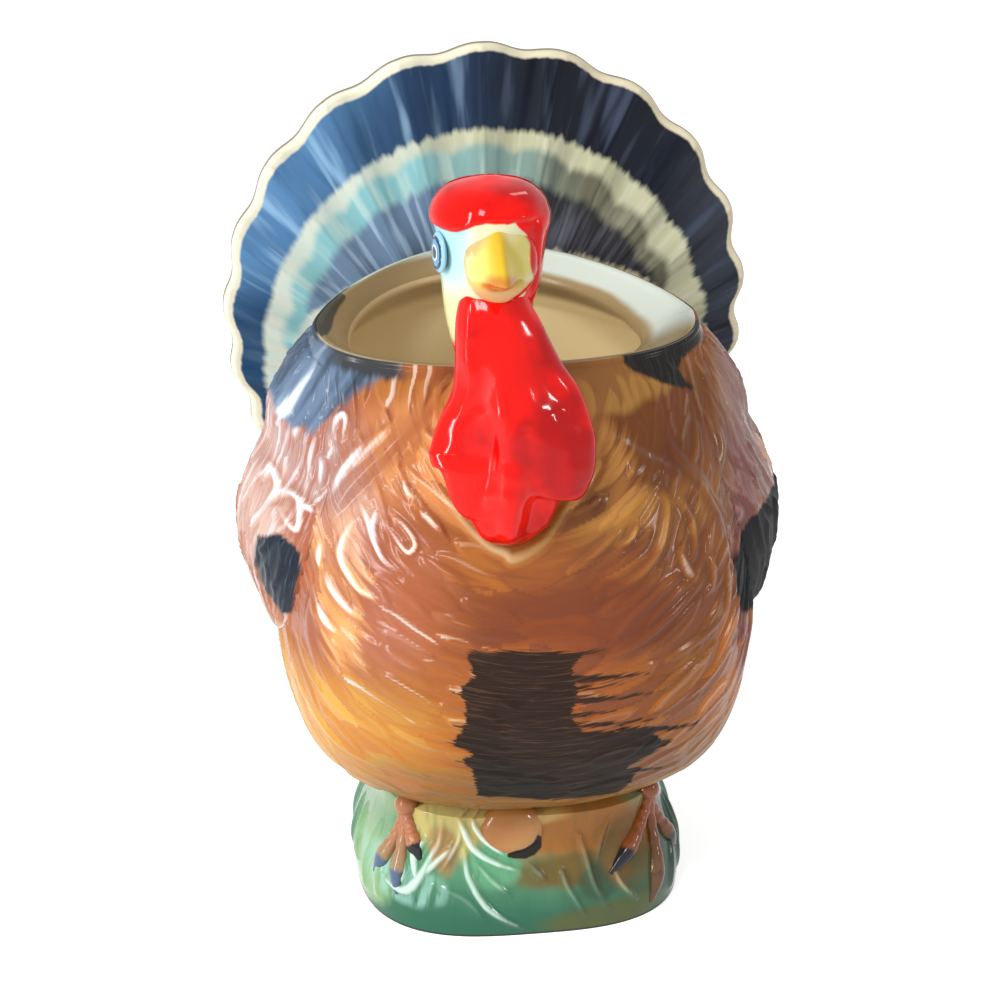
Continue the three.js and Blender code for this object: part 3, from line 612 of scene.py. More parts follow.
def inked(m, c, x, z, streak, fine):
    """The plumage c with its painted patches on it, and 1 where a patch is matt."""
    tips, black_in, slate_in = m.parts("ink")
    n = (streak + fine) * 3.5
    brush = m.noise(m.pair(x * 0.6 + z * 0.8, z * 0.6 - x * 0.8), (0.03, 0.3, 0))
    # The slate patch; its lighter streaks, more of them towards the far left, are a painted highlight.
    slate = m.mix((brush + x.step(-36, -50) * 0.14).step(-0.08, 0.1), (56, 70, 88), (100, 120, 144))
    slate = m.mix((brush + x.step(-38, -50) * 0.16).step(0.1, 0.24), slate, (206, 218, 230))
    c = m.mix((slate_in + brush * 9).step(-0.6, 1.4), c, slate)
    black = m.mix(fine.step(-0.05, 0.2), (30, 27, 24), (54, 50, 46))
    c = m.mix((black_in + n * 0.3).step(-0.3, 0.5), c, black)
    # The wing tips: their paler blue-grey streaks are a painted sheen, lighter on the viewer's left tip
    # than on the right one.
    on_left = x.step(-10, 10)
    dark = m.mix(on_left, (22, 32, 44), (14, 14, 16))
    light = m.mix(on_left, (78, 98, 126), (44, 50, 60))
    inside = (tips + n * 0.5).step(-0.5, 0.5)
    return m.mix(inside, c, m.mix(fine.step(0.04, 0.24), dark, light)), inside * on_left


# Ovals of colour on the plumage: middle across and up, radii, amount and colour.
breast_spots = [
    (-26, 106, 16, 12, 1, (206, 142, 92)), (24, 112, 16, 8, 1, (112, 66, 34)),
    (16, 117, 14, 4, 0.8, (176, 132, 74)), (20, 98, 17, 6, 0.8, (176, 124, 64)),
    # The pale golden oval at 11 across and 105 up is painted light, laid where the head and wattle cast
    # their shadow on the breast.
    (11, 105, 7, 8, 0.7, (206, 150, 86)), (8, 78, 26, 7, 0.7, (118, 58, 40)),
    (-33, 84, 13, 14, 1, (166, 100, 74)),
]
flank_spots = [
    (-40, 88, 4.5, 22, 1, (232, 168, 100)), (-38, 99, 7, 11, 0.45, (228, 198, 188)),
    (-44, 108, 10, 13, 1, (172, 142, 134)), (-54, 93, 7, 14, 1, (196, 164, 150)),
    (46, 104, 8, 20, 1, (148, 116, 108)), (55, 98, 4, 9, 1, (206, 156, 122)),
    # The narrow dark mauve band at 44 across, along the right edge, is painted shade at the silhouette.
    (44, 78, 3.5, 26, 0.9, (128, 74, 72)),
]


def plumage(m, x, z, tone, crest):
    """The feathers' colour, by place on body and wings alike, then by the stroke."""
    streak = m.noise("flow", (0.045, 0.6, 0), 3, 0.6)
    fine = m.noise("flow", (0.09, 2.2, 0), 3, 0.65)
    zz = z + m.noise("place", 0.035) * 26
    xx = x + streak * 14
    c = m.mix(zz.step(78, 100), (158, 88, 46), (168, 108, 56))
    c = m.mix(xx.step(4, 30), c, m.mix(zz.step(70, 100), (150, 92, 44), (140, 86, 44)))
    c = m.lay(c, xx, zz, breast_spots)
    c = m.mix(xx.step(-8, -38) * zz.step(78, 48), c, (212, 162, 70))
    c = m.mix(xx.step(4, 26) * zz.step(72, 48), c, (158, 94, 36))
    c = m.lay(c, xx, zz, [(40, 58, 9, 14, 1, (186, 112, 44))])
    # Darker low on the left: painted shade where the lower breast turns down.
    c = m.mix(z.step(56, 40) * x.step(-50, -26), c, (138, 96, 44))
    c = m.lay(c, xx, zz, flank_spots)
    # The strokes: dark in them, pale along their rims, and each in its own tone. The pale rims are a
    # painted highlight, brighter on the viewer's left, and in part the glaze thinning over the rims.
    dark = m.mix(xx.step(-10, -30), (112, 60, 46), (160, 86, 56))
    dark = m.mix(xx.step(-6, -30) * zz.step(72, 50), dark, (184, 106, 38))
    c = m.mix((tone + streak * 1.4).step(-0.1, -0.7) * 0.6, c, dark)
    c = m.mix(m.parts("flow")[2].step(0.16, 0.03) * 0.45, c, dark)
    c = m.mix(streak.step(0.02, 0.18) * 0.35, c, dark)
    pale = m.mix(x.step(5, -20), (186, 152, 142), (232, 222, 224))
    pale = m.mix(xx.step(-6, -30) * zz.step(66, 50), pale, (232, 200, 122))
    rim_highlight = (crest + fine * 0.5).step(0.45, 0.85) * tone.step(-0.3, 0.5)
    c = m.mix(rim_highlight * (x.step(8, -20) * 0.32 + 0.3), c, pale)
    # The strokes and the collar that are drawn one by one, with painted highlights along their crests.
    highlight_in, near, collar_in = m.parts("drawn")
    # The collar's pale line is a painted highlight, brighter on the viewer's left.
    collar_highlight = m.mix(x.step(0, -12), (176, 140, 90), (206, 188, 164))
    c = m.mix(collar_in.step(0.12, 0.42) * 0.6, c, collar_highlight)
    recess = near * highlight_in.step(0.5, 0.1) * zz.step(60, 76) * 0.75
    c = m.mix(recess, c, m.mix(x.step(0, -30), (96, 54, 42), (150, 88, 64)))
    # A white-lilac painted highlight along the drawn crests, whiter on the viewer's left.
    painted_highlight = m.mix(x.step(0, -16), (210, 196, 202), (250, 238, 242))
    c = m.mix((highlight_in + fine * 0.6).step(0.4, 0.95) * 0.75, c, painted_highlight)
    # Pale lilac streaks high on both flanks: a painted sheen, brighter on the viewer's left.
    lilac_sheen = m.math("ABSOLUTE", x).step(34, 42) * z.step(82, 94) * fine.step(0.02, 0.2)
    c = m.mix(lilac_sheen * 0.35, c, m.mix(x.step(-8, 8), (236, 226, 236), (164, 138, 140)))
    warm = m.mix(1, c, (1, 0.95, 0.72, 1), "MULTIPLY")
    return m.mix(x.step(-36, -20) * x.step(44, 38), c, warm), streak, fine, zz


def body_paint():
    m = Paint("body_glaze", specular=0.16)
    x, y, z = m.parts("place")
    beard_in, crest, tone = m.parts("marks")
    c, streak, fine, zz = plumage(m, x, z, tone, crest)
    # The brushed beard low on the breast.
    beard = (beard_in + fine * 3.6).step(-0.15, 0.3)
    hair = m.mix(fine.step(0, 0.2), (40, 25, 17), (78, 54, 37))
    hair = m.mix(zz.step(58, 46), hair, m.mix(fine.step(0.02, 0.2), (20, 13, 9), (66, 50, 34)))
    c, matt = inked(m, m.mix(beard, c, hair), x, z, streak, fine)
    # The edge of the mouth: dark below it on the left, and pale on it.
    drop = m.value("drop")
    below = (drop + streak * 5).step(3.4, 1.2) * x.step(-43, -36) * x.step(-23, -27) * y.step(6, -6)
    c = m.mix(below, c, (58, 60, 62))
    edge = m.mix(x.step(-24, -36), (160, 136, 96), (180, 164, 136))
    edge = m.mix(y.step(0, 10), edge, (196, 206, 192))
    edge = m.mix(x.step(-32, -34) * y.step(-5, -2), edge, (40, 38, 34))
    on_edge = (drop - y.step(0, 10) * 0.5).step(-0.6, -0.85)
    c = m.mix(on_edge * x.step(19, 16), c, edge)
    m.matt(m.most(matt, beard, z.step(62, 40) * 0.4), 0.18)
    return m.color(c)


def inside_paint():
    m = Paint("inside_glaze", rough=0.28)
    x, y, z = m.parts("place")
    inward = m.value("mouth")
    spot = m.noise("place", 0.05, 3)
    tan = m.mix(z.step(60, 118), (252, 232, 182), (244, 222, 170))
    # The ledge is painted darker on the left and towards its inner edge: painted shade. Its pale back and
    # right are the glaze's own colour.
    ledge = m.mix((x + spot * 6).step(-16, 2) * y.step(-8, 0), (150, 126, 84), (200, 208, 198))
    c = m.mix((inward + spot * 0.4).step(0.95, 0.74), (146, 122, 80), ledge)
    c = m.mix(inward.step(0.45, 0.3) * x.step(-33, -29) * y.step(6, 12), c, (204, 214, 204))
    # The rounded inner edge is painted darker, most of all towards the viewer's right: painted shade.
    nose = m.mix(x.step(-6, 14), (196, 170, 122), (140, 116, 78))
    c = m.mix(inward.step(1.0, 1.06), c, nose)
    c = m.mix(inward.step(1.15, 1.25), c, tan)
    black = inward.step(1.0, 0.9) * (m.parts("marks")[0] + spot * 1.2).step(-0.3, 0.3)
    c = m.mix(black, c, (38, 35, 30))
    return m.color(m.mix((spot + 0.5) * 0.15, c, (205, 185, 140)))


# Base.
base_shares = [1, 1.005, 0.99, 0.955, 0.91, 0.875, 0.865]

# Blades of grass on the front: points across and up, half width, height, and the strength of the painted
# highlight along the blade.
grass = [
    ([(-15.7, 26.0), (-14.9, 23.5), (-12.9, 19.3), (-8.9, 16.5), (-3.2, 14.4)], 0.8, 1.1, 1),
    ([(-12.9, 26.0), (-12.3, 23.7), (-9.9, 20.4), (-5.6, 17.3)], 0.7, 0.9, 1),
    ([(-14.7, 18.9), (-14.1, 13.5), (-10.2, 6.9), (-2.7, 1.8)], 0.9, 1.0, 0.8),
    ([(-12.5, 16.5), (-9.5, 13.0), (-5.5, 9.5)], 0.8, 0.7, 0.5),
    ([(-31.2, 9.4), (-27.5, 8.7), (-24.2, 11.9), (-19.9, 20.3)], 0.9, 1.2, 1),
    ([(-24.6, 11.2), (-24.9, 16.3), (-22.5, 19.8)], 0.8, 1.1, 1),
    ([(-23.4, 12.9), (-17.5, 19.0)], 0.8, 1.0, 0.8),
    ([(-27.9, 10.0), (-27.2, 15.3)], 0.8, 1.1, 1),
    ([(-19.0, 24.7), (-19.9, 19.5), (-23.3, 13.7)], 0.8, 0.9, 0.5),
    ([(-15.7, 24.4), (-15.8, 20.8), (-19.5, 14.3)], 0.7, 0.9, 0.5),
    ([(5.5, 14.6), (6.6, 10.7), (10.6, 3.9)], 0.8, 0.9, 0.35),
    ([(9.6, 21.1), (10.7, 16.8), (12.5, 10.3), (15.7, 4.7)], 0.8, 1.0, 0.35),
    ([(16.8, 13.2), (18.4, 9.6), (22.1, 5.2)], 0.8, 1.0, 0.6),
    ([(-1.5, 16.0), (2.2, 12.1)], 0.8, 0.7, 0.2),
    ([(-21.1, 11.2), (-15.1, 9.0), (-11.0, 4.3)], 0.9, 0.7, 0.3),
    ([(16.5, 24), (14.5, 20), (13.2, 15)], 0.8, 0.8, 0.15),
]


def base_point(a, t, out=0.0):
    a, t = np.broadcast_arrays(np.asarray(a, float), np.asarray(t, float))
    k = squared(a, np.where(np.cos(a) > 0, base_square, base_back_square))
    share = spline(base_shares, t)
    across = (base_half_width * share + out) * k
    deep = (base_half_depth * share + out) * k
    return np.stack([across * np.sin(a), -deep * np.cos(a), base_height * t], -1)


# Ovals of colour on the front of the base: middle across and up, radii, amount and colour.
grass_spots = [
    (-35, 10, 5, 9, 1, (128, 166, 118)), (-14, 24, 13, 7, 1, (196, 180, 108)),
    (8, 23, 18, 7.5, 1, (160, 104, 46)), (-4, 26, 12, 2.5, 0.7, (198, 168, 98)),
    (8, 13.5, 12, 4, 1, (112, 92, 46)), (13, 10.5, 5, 4.5, 0.8, (44, 76, 56)),
    (21, 17, 6, 8, 1, (124, 86, 40)), (25, 9, 5, 6, 0.7, (72, 78, 44)),
    (32, 10, 5, 14, 1, (58, 80, 66)), (16, 2.5, 15, 4, 1, (86, 96, 56)),
    (-19, 18.5, 3.2, 5, 0.85, (170, 116, 62)), (-32, 20, 3, 8, 0.6, (136, 168, 128)),
    (-9, 16, 5.5, 5, 1, (104, 166, 124)),
]
# Round the back the blades stand at a pitch along the base, which is measured as if it were a round one.
round_radius, blade_start, blade_pitch, blades_behind = 40, 36, 7.1, 26
# The least and most of a blade's bend, half width and height.
blade_ends = ((-2, 2), (0.9, 1.4), (0.7, 1.2))


def base():
    rows, cols = 120, 760
    u = np.linspace(0, turn, cols, endpoint=False)
    a = u - 0.3 * np.sin(u)
    a2, t2 = np.meshgrid(a, np.linspace(0, 1, rows))
    across = np.where(a2 > math.pi, a2 - turn, a2) * round_radius
    z = t2 * base_height
    relief = np.zeros_like(a2)
    blades = []
    for k in range(blades_behind):
        at = blade_start + k * blade_pitch
        lean = rng.uniform(-6, 6)
        foot_z, tip_z = rng.uniform(1, 5), rng.uniform(14, 23)
        blades.append((at, foot_z, at + lean, tip_z, *(rng.uniform(*ends) for ends in blade_ends)))
    for x0, z0, x1, z1, bend, width, height in blades:
        for wrap in (0, -turn * round_radius):
            dx, dz = x1 - x0, z1 - z0
            length = math.hypot(dx, dz)
            px, pz = across - x0 - wrap, z - z0
            f = (px * dx + pz * dz) / length**2
            off = (px * dz - pz * dx) / length - bend * 4 * f * (1 - f)
            half = width * (0.35 + 0.9 * np.clip(1 - f, 0, 1))
            on = np.sin(np.clip(f, 0, 1) * math.pi) ** 0.45
            relief = np.maximum(relief, height * on * np.exp(-np.abs(off / half) ** 1.8))
    p = base_point(a2, t2)
    n = normals(p, True)
    raised, pale, near = (np.where(p[..., 1] < 0, v, 0) for v in drawn(p[..., 0], p[..., 2], grass))
    relief = np.maximum(relief, raised) * smooth(t2, 0, 0.1)
    outer = p + n * relief[..., None]
    ceiling = 1 - base_deck / base_height
    hollow = [base_point(a, ceiling * (1 - f), -base_wall * (1 + 0.5 * f)) for f in np.linspace(0, 1, 12)]
    edge = base_point(a, 0.0, -0.6)[None]
    grid = np.concatenate([np.stack(hollow), edge, outer])
    pad = len(grid) - rows
    flow = np.stack([across, z, relief], -1)
    flow = np.concatenate([np.repeat(flow[:1] * [1, 1, 0], pad, 0), flow])
    dab = np.where(grid[..., 1] < 0, depth_inside(grid[..., 0], grid[..., 2], crescent_outline), -9)
    lines = np.concatenate([np.zeros((pad, cols, 3)), np.stack([pale, near, 0 * near], -1)])
    shape = Shape()
    shape.add(grid, place=grid, flow=flow, dab=dab, drawn=lines)
    return shape


def base_paint():
    m = Paint("grass_glaze", rough=0.12, specular=0.22)
    x, y, z = m.parts("place")
    n = m.noise("place", 0.08) * 0.9
    thin = m.noise("flow", (0.5, 0.09, 0), 3)
    front = y.step(4, -8)
    c = m.mix((z + n * 6).step(3, 20), (44, 102, 78), (98, 150, 112))
    c = m.lay(c, x, z, grass_spots, n, front)
    # A pale mint patch on the front left: partly the grass's own pale paint, partly a painted highlight.
    pale_clump_and_highlight = m.blot(x, z, -27, 10.5, 7.5, 4.5, n * 1.5) * thin.step(-0.12, 0.12) * 0.8
    c = m.mix(pale_clump_and_highlight * front, c, (160, 208, 192))
    c = m.mix(thin.step(0, 0.22) * 0.3, c, (50, 96, 70))
    highlight_in, near = m.parts("drawn")[:2]
    deep = m.mix(x.step(-4, 4), (58, 118, 90), (62, 62, 34))
    c = m.mix(near * highlight_in.step(0.5, 0.1) * 0.35, c, deep)
    # Pale along the drawn blades: a painted highlight, whiter on the viewer's left.
    blade_highlight = m.mix(x.step(-2, 6), (224, 242, 234), (206, 196, 150))
    c = m.mix((highlight_in + thin * 0.5).step(0.3, 0.9) * 0.8, c, blade_highlight)
    # Paler on the raised crests, high up and towards the viewer's left: a painted highlight.
    crest = m.parts("flow")[2].step(0.35, 1.1) * z.step(27, 12) * x.step(26, -6) * 0.35
    c = m.mix(crest, c, (170, 212, 190))
    # A dark line along the bottom edge: painted contact shadow.
    c = m.mix(z.step(0.7, 0.2), c, (52, 48, 40))
    return m.color(m.mix((m.value("dab") + n * 0.4).step(-0.25, 0.15), c, (38, 34, 28)))


# Tail fan.
fan_radius, fan_rise, fan_root_rise, feathers = 59, 30, 60.5, 17
pitch = math.radians(12)
fan_edge, fan_cup, fan_scallop, fan_flute, fan_boss, fan_boss_radius = 3.6, 5.5, 1.7, 0.9, 7, 19
fan_seat, fan_lean, fan_turn, fan_throat = 1.4, math.radians(2), math.radians(1.5), 0.36
fan_spread = feathers * pitch / 2
fan_root = deck + fan_root_rise
fan_front = back_reach - fan_seat


def fan_reach(a):
    side = fan_rise * np.sin(a)
    circle = fan_rise * np.cos(a) + np.sqrt(np.maximum(fan_radius**2 - side**2, 0))
    inside = (a + fan_spread) / pitch
    which = np.floor(inside)
    off = 2 * (inside - which) - 1
    below = np.abs(a) - fan_spread
    throat = fan_radius * fan_throat
    fall = throat + (circle - fan_scallop - throat) * np.exp(-np.maximum(below, 0) * 9)
    tip = circle - fan_scallop * (0.5 - 0.5 * np.cos(math.pi * off)) ** 1.3
    return np.where(below > 0, fall, tip)


# The bands' inner edges: how far each feather bulges them, and the middle across and up and the radius.
fan_bands = [(0.7, -0.6, 19.3, 50.3), (2.2, -1.9, 21.9, 44), (1.4, -1.3, 16.2, 42.2)]
fan_fringe = 2, -30, 72.8


def fan():
    upper = np.linspace(-fan_spread, fan_spread, feathers * 30, endpoint=False)
    lower = np.linspace(fan_spread, turn - fan_spread, 70, endpoint=False)
    a = np.concatenate([upper, lower])
    a = np.where(a > math.pi, a - turn, a)
    front_shares = np.concatenate([np.linspace(0.06, 0.9, 100), np.linspace(0.9, 1, 26)[1:]])

    def face(shares, back):
        a2, s2 = np.meshgrid(a, shares)
        full = fan_reach(a2)
        reach = full * s2
        inside = (a2 + fan_spread) / pitch
        wave = np.cos(inside * turn)
        groove = fan_flute * (np.sign(wave) * np.abs(wave) ** 0.8) * np.minimum(s2 * 1.5, 1)
        mid = inside - np.floor(inside) - 0.5
        quill = -0.35 * np.exp(-((mid * reach * pitch / 0.5) ** 2)) * smooth(s2, 0.2, 0.5)
        fluted = np.where(np.abs(a2) < fan_spread, groove if back else groove + quill, 0)
        boss = fan_boss * np.exp(-((reach / fan_boss_radius) ** 2))
        y = fan_front - 0.5 * fan_cup * (reach / fan_radius) ** 2
        y += math.tan(fan_lean) * reach * np.cos(a2)
        thick = fan_edge * (1.5 - 0.5 * s2) + boss if back else 0
        left = (1 - s2) * full
        round_in = np.sqrt(np.clip(1 - (1 - np.clip(left / 1.6, 0, 1)) ** 2, 0, 1))
        rounding = (1 - round_in) * fan_edge * 0.42 * (-1 if back else 1)
        turned = a2 - fan_turn
        x, z = reach * np.sin(turned), fan_root + reach * np.cos(turned)
        p = np.stack([x, y + thick + fluted + rounding, z], -1)
        polar = np.stack([a2 * 60, reach, left], -1)
        lobe = np.abs(np.sin(math.pi * inside))
        rear = np.full(left.shape, 1.0 if back else 0.0)

        def ring(cx, rise, radius):
            return np.hypot(x - cx, z - fan_root - rise) - radius

        bands = np.stack([ring(*place) - wave * (lobe - 0.6) for wave, *place in fan_bands], -1)
        return p, polar, bands, ring(*fan_fringe), rear

    sides = face(front_shares, False), face(front_shares[::-1][::2], True)
    grid, polar, bands, fringe, rear = (np.concatenate(pair) for pair in zip(*sides))
    shape = Shape()
    shape.add(grid, place=grid, polar=polar, bands=bands, fringe=fringe, rear=rear)
    return shape


def fan_paint():
    m = Paint("tail_glaze", rough=0.22, specular=0.1)
    x, _, z = m.parts("place")
    reach, left = m.parts("polar")[1:]
    navy_in, teal_in, dark_in = m.parts("bands")
    radial = m.noise("polar", (0.3, 0.03, 0))
    lines = m.noise("polar", (0.45, 0.035, 0))
    feathery = m.noise("polar", (0.7, 0.06, 0))
    xx = x + m.noise("place", 0.04) * 16
    ragged = feathery * 4.6 * (1 - x.step(-10, -45) * 0.55)
    # Every colour of the fan runs lighter to the viewer's left and darker to the right: painted light and
    # shade for a light from the left.
    plain = m.mix(xx.step(10, -18), (22, 27, 38), (34, 58, 88))
    plain = m.mix(xx.step(-16, -44), plain, (84, 130, 174))
    plain = m.mix(x.step(36, 50), plain, (50, 54, 64))
    # The light streaks in the navy band are a painted reflection along the feathers.
    light = m.mix(x.step(10, -30), (74, 84, 104), (160, 200, 230))
    deep = m.mix(x.step(0, -40), (15, 19, 27), (44, 84, 124))
    navy = m.mix(radial.step(0, 0.2) * 0.6, plain, light)
    navy = m.mix(radial.step(-0.04, -0.2) * 0.6, navy, deep)
    navy = m.mix(lines.step(0.12, 0.26) * 0.45, navy, light)
    navy = m.mix(z.step(132, 114) * x.step(-38, -48) * 0.8, navy, (16, 50, 84))
    cream = m.mix(x.step(0, -34), (180, 182, 150), (200, 216, 206))
    cream = m.mix(lines.step(-0.1, 0.16) * 0.4, cream, (216, 216, 194))
    teal = m.mix(xx.step(22, -2), (98, 98, 80), (128, 158, 152))
    teal = m.mix(xx.step(-2, -26), teal, (132, 188, 194))
    milky = m.mix(x.step(20, -10), (160, 160, 138), (206, 226, 214))
    teal = m.mix(radial.step(-0.02, 0.16) * 0.45, teal, milky)
    dark = m.mix(xx.step(0, -22), (48, 49, 52), (104, 130, 156))
    grey = m.mix(x.step(10, -22), (88, 90, 100), (164, 190, 214))
    dark = m.mix(lines.step(0, 0.16) * 0.7, dark, grey)
    hem = m.mix(x.step(5, -25), (194, 188, 154), (204, 218, 208))
    c = m.mix((m.value("fringe") + ragged * 0.7).step(-0.9, 0.9), hem, dark)
    c = m.mix((dark_in + ragged * 0.7).step(-1.2, 1.6), c, teal)
    c = m.mix((teal_in + ragged * 0.4).step(-1.3, 1.5), c, cream)
    c = m.mix((navy_in + ragged * 0.8).step(-0.8, 1.1), c, navy)
    rim = x.step(4, -30) * 0.8 + 1.7
    pale = m.mix(x.step(20, -30), (206, 196, 168), (226, 224, 200))
    c = m.mix((left + feathery * 0.8 - rim).step(0.35, -0.35), c, pale)
    c = m.mix(left.step(0.3, 0.08), c, (128, 118, 98))
    calm = m.mix(reach.step(14, 44), plain, m.mix(0.6, plain, navy))
    return m.color(m.mix(m.value("rear") * left.step(0.6, 1.6), c, calm))


# Wings.
wing_shares = [
    [0.41, 85, 92, 0.05],
    [0.46, 75, 102, 0.4],
    [0.51, 70, 110, 0.72],
    [0.56, 66, 116, 0.92],
    [0.62, 62, 120, 0.98],
    [0.68, 58, 123, 0.8],
    [0.74, 55, 125, 0.5],
    [0.81, 54, 125, 0.56],
    [0.88, 55, 124, 0.36],
    [0.95, 58, 120, 0.05],
]
wing_bulge, wing_long, wing_wide, wing_root = 8.6, 76, 52, 1.6
wing_rows, wing_strokes = 3.9, 13.5


def wing(sign):
    v2, s2 = np.meshgrid(np.linspace(0, 1, 150), np.linspace(0, 1, 100), indexing="ij")
    t = column(wing_shares, 0, v2)
    lo, hi = (np.radians(column(wing_shares, k, v2)) for k in (1, 2))
    a = sign * (lo + (hi - lo) * s2)
    dome = np.sin(math.pi * s2).clip(0) ** (0.75 + 0.75 * smooth(v2, 0.35, 0.9))
    ends = np.sin(math.pi * np.clip(v2, 0, 1)) ** 0.35
    along = (1 - v2) * wing_long
    cross = s2 * wing_wide
    seeds = []
    for k, c0 in enumerate(np.arange(2, wing_wide, wing_rows)):
        for j in np.arange(0, wing_long + 4, wing_strokes):
            seeds.append((j + 6.7 * (k % 2) + rng.uniform(-2.5, 2.5), c0 + rng.uniform(-1, 1),
                          rng.uniform(6, 10), rng.uniform(1.3, 2.2), rng.uniform(0.4, 1.1),
                          rng.uniform(0.02, 0.25), rng.uniform(-1, 1)))
    relief, tone, crest = stroke_relief(along, cross, [1] * len(seeds), seeds)
    relief *= smooth(s2, 0, 0.08) * smooth(1 - s2, 0, 0.08) * smooth(v2, 0, 0.08)
    shoulder = 1 - (0.12 * smooth(v2, 0.55, 0.8) if sign > 0 else 0.3 * smooth(v2, 0.32, 0.05))
    margin = smooth(s2, 0, 0.1) * smooth(1 - s2, 0, 0.1)
    base_p = body_point(a, t)
    n = body_normal(a, t)
    out = 0.45 * ends * margin - 0.1 + wing_bulge * shoulder * column(wing_shares, 3, v2) * dome
    plain = base_p + n * out[..., None]
    ridge, pale, near = drawn(plain[..., 0], plain[..., 2], strokes)
    ridge, pale, near = (np.where(plain[..., 1] < 14, v, 0) for v in (ridge, pale, near))
    relief = np.maximum(relief * (1 - 0.75 * near), 1.15 * ridge)
    outer = plain + n * relief[..., None]
    grid = np.concatenate([outer, (base_p - n * wing_root)[:, ::-1][:, ::6]], 1)
    values = {
        "flow": np.stack([along, cross, relief], -1),
        "marks": np.stack([crest, tone, 0 * tone], -1),
        "ink": patches(*np.moveaxis(plain, -1, 0), 60 if sign > 0 else 1),
        "drawn": np.stack([pale, near, 0 * near], -1),
    }
    values = {k: np.concatenate([v, v[:, ::-1][:, ::6]], 1)[:, ::sign] for k, v in values.items()}
    grid = grid[:, ::sign]
    shape = Shape()
    shape.add(grid, place=grid, **values)
    return shape


def wing_paint():
    m = Paint("wing_glaze", specular=0.16)
    x, y, z = m.parts("place")
    crest, tone = m.parts("marks")[:2]
    c, streak, fine, _ = plumage(m, x, z, tone, crest)
    under = (z + streak * 9).step(76, 72) * y.step(8, 16)
    c, matt = inked(m, m.mix(under, c, (34, 36, 42)), x, z, streak, fine)
    m.matt(matt, 0.16)
    return m.color(c)


def bar(stations, sides, steps, lobes=None):
    """Rings along a spine. A station is a point of it and the half width and half depth there."""
    t = np.linspace(0, 1, steps + 1)

    def at(where):
        return np.stack([column(stations, k, where) for k in range(3)], -1)

    e = 0.5 / steps
    along = at(np.minimum(t + e, 1)) - at(np.maximum(t - e, 0))
    along /= np.linalg.norm(along, axis=1, keepdims=True)
    across = np.array([1.0, 0, 0]) - along * along[:, :1]
    across /= np.linalg.norm(across, axis=1, keepdims=True)
    deep = np.cross(along, across)
    a = np.linspace(0, turn, sides, endpoint=False)
    a2, t2 = np.meshgrid(a, t)
    swell = lobes(a2, t2) if lobes else 0
    w = column(stations, 3, t)[:, None] + swell
    d = column(stations, 4, t)[:, None] + swell
    p = at(t)[:, None] + across[:, None] * (w * np.cos(a2))[..., None]
    return p + deep[:, None] * (d * np.sin(a2))[..., None], a2, t2


def outward(grid):
    """The grid with its columns in the order that makes its faces look out."""
    centre = grid.mean(1, keepdims=True)
    return grid if ((grid - centre) * normals(grid, True)).sum() > 0 else grid[:, ::-1]


neck_half_width, neck_half_depth, neck_stand_off, neck_side, head_side = 7.6, 8, 5, -7, -3.1
head_half_width, head_half_depth, head_top_rise, head_turn = 10.2, 11.6, 43, math.radians(3)
neck_back = -(rim_reach + neck_stand_off)
head_level = rim_height + 0.73 * head_top_rise
# Middle across, rise, half width, half depth and set-back, as shares of the lengths above.
neck_shares = [
    [neck_side * 0.9, -0.5, 1.15, 1.1, 0.25],
    [neck_side * 0.95, -0.33, 1.15, 1.15, 0.2],
    [neck_side, -0.12, 1.1, 1.06, 0.08],
    [neck_side + head_side * 0.35, 0.14, 1.04, 1, 0],
    [neck_side + head_side, 0.4, 1.1, 1.06, 0.05],
    [neck_side + head_side, 0.57, 1.23, 1.24, 0.12],
    [neck_side + head_side, 0.73, 1.32, 1.4, 0.2],
    [neck_side + head_side, 0.86, 1.45, 1.44, 0.22],
    [neck_side + head_side, 0.96, 1.06, 1.04, 0.22],
    [neck_side + head_side, 1, 0.14, 0.14, 0.22],
]
neck_stations = [[x, neck_back - neck_half_depth * (1 + back), rim_height + rise * head_top_rise,
                  neck_half_width * wide, neck_half_depth * deep]
                 for x, rise, wide, deep, back in neck_shares]
head_middle = np.array([neck_stations[-4][0], neck_stations[-4][1], head_level])
faceward = np.array([math.sin(head_turn), -math.cos(head_turn), 0])
sideways = np.array([math.cos(head_turn), math.sin(head_turn), 0])


def head_parts(p):
    """Forward, sideways and upward distance of points from the middle of the head."""
    d = p - head_middle
    return np.stack([d @ faceward, d @ sideways, d[..., 2]], -1)


brow_height, eye_hollow, cheek_height = 0.8, 0.7, 0.9


def head():
    p = outward(bar(neck_stations, 150, 260)[0])
    n = normals(p, True)
    f, s, u = np.moveaxis(head_parts(p), -1, 0)
    brow = 5.6 - 2.4 * smooth(-s, 3, 9)
    lump = brow_height * smooth(u, brow - 0.3, brow + 0.7) * np.exp(-np.maximum(u - brow, 0) / 6)
    lump *= smooth(f, -7, 3) * (1 - smooth(s, 5, 9))
    hollow = -eye_hollow * np.exp(-((u + 1) / 6) ** 2) * smooth(-s, 4, 8) * smooth(f, -3, 3)
    cheek = cheek_height * smooth(s, 6.4, 7.4) * np.exp(-np.maximum(s - 7, 0) / 3)
    cheek *= smooth(f, -3, 3) * smooth(u, -14, -6) * smooth(7 - u, 0, 4)
    p = p + n * (lump + hollow + cheek)[..., None]
    shape = Shape()
    shape.add(p, place=p, head=head_parts(p))
    return shape


def red(m):
    # Mottled red, darker towards the viewer's right as painted shade of a light from the left.
    mottled = m.noise("place", 0.1) + m.parts("place")[0].step(-9, 5) * 0.2
    return m.mix(mottled.step(-0.06, 0.2), (236, 14, 4), (182, 3, 5))


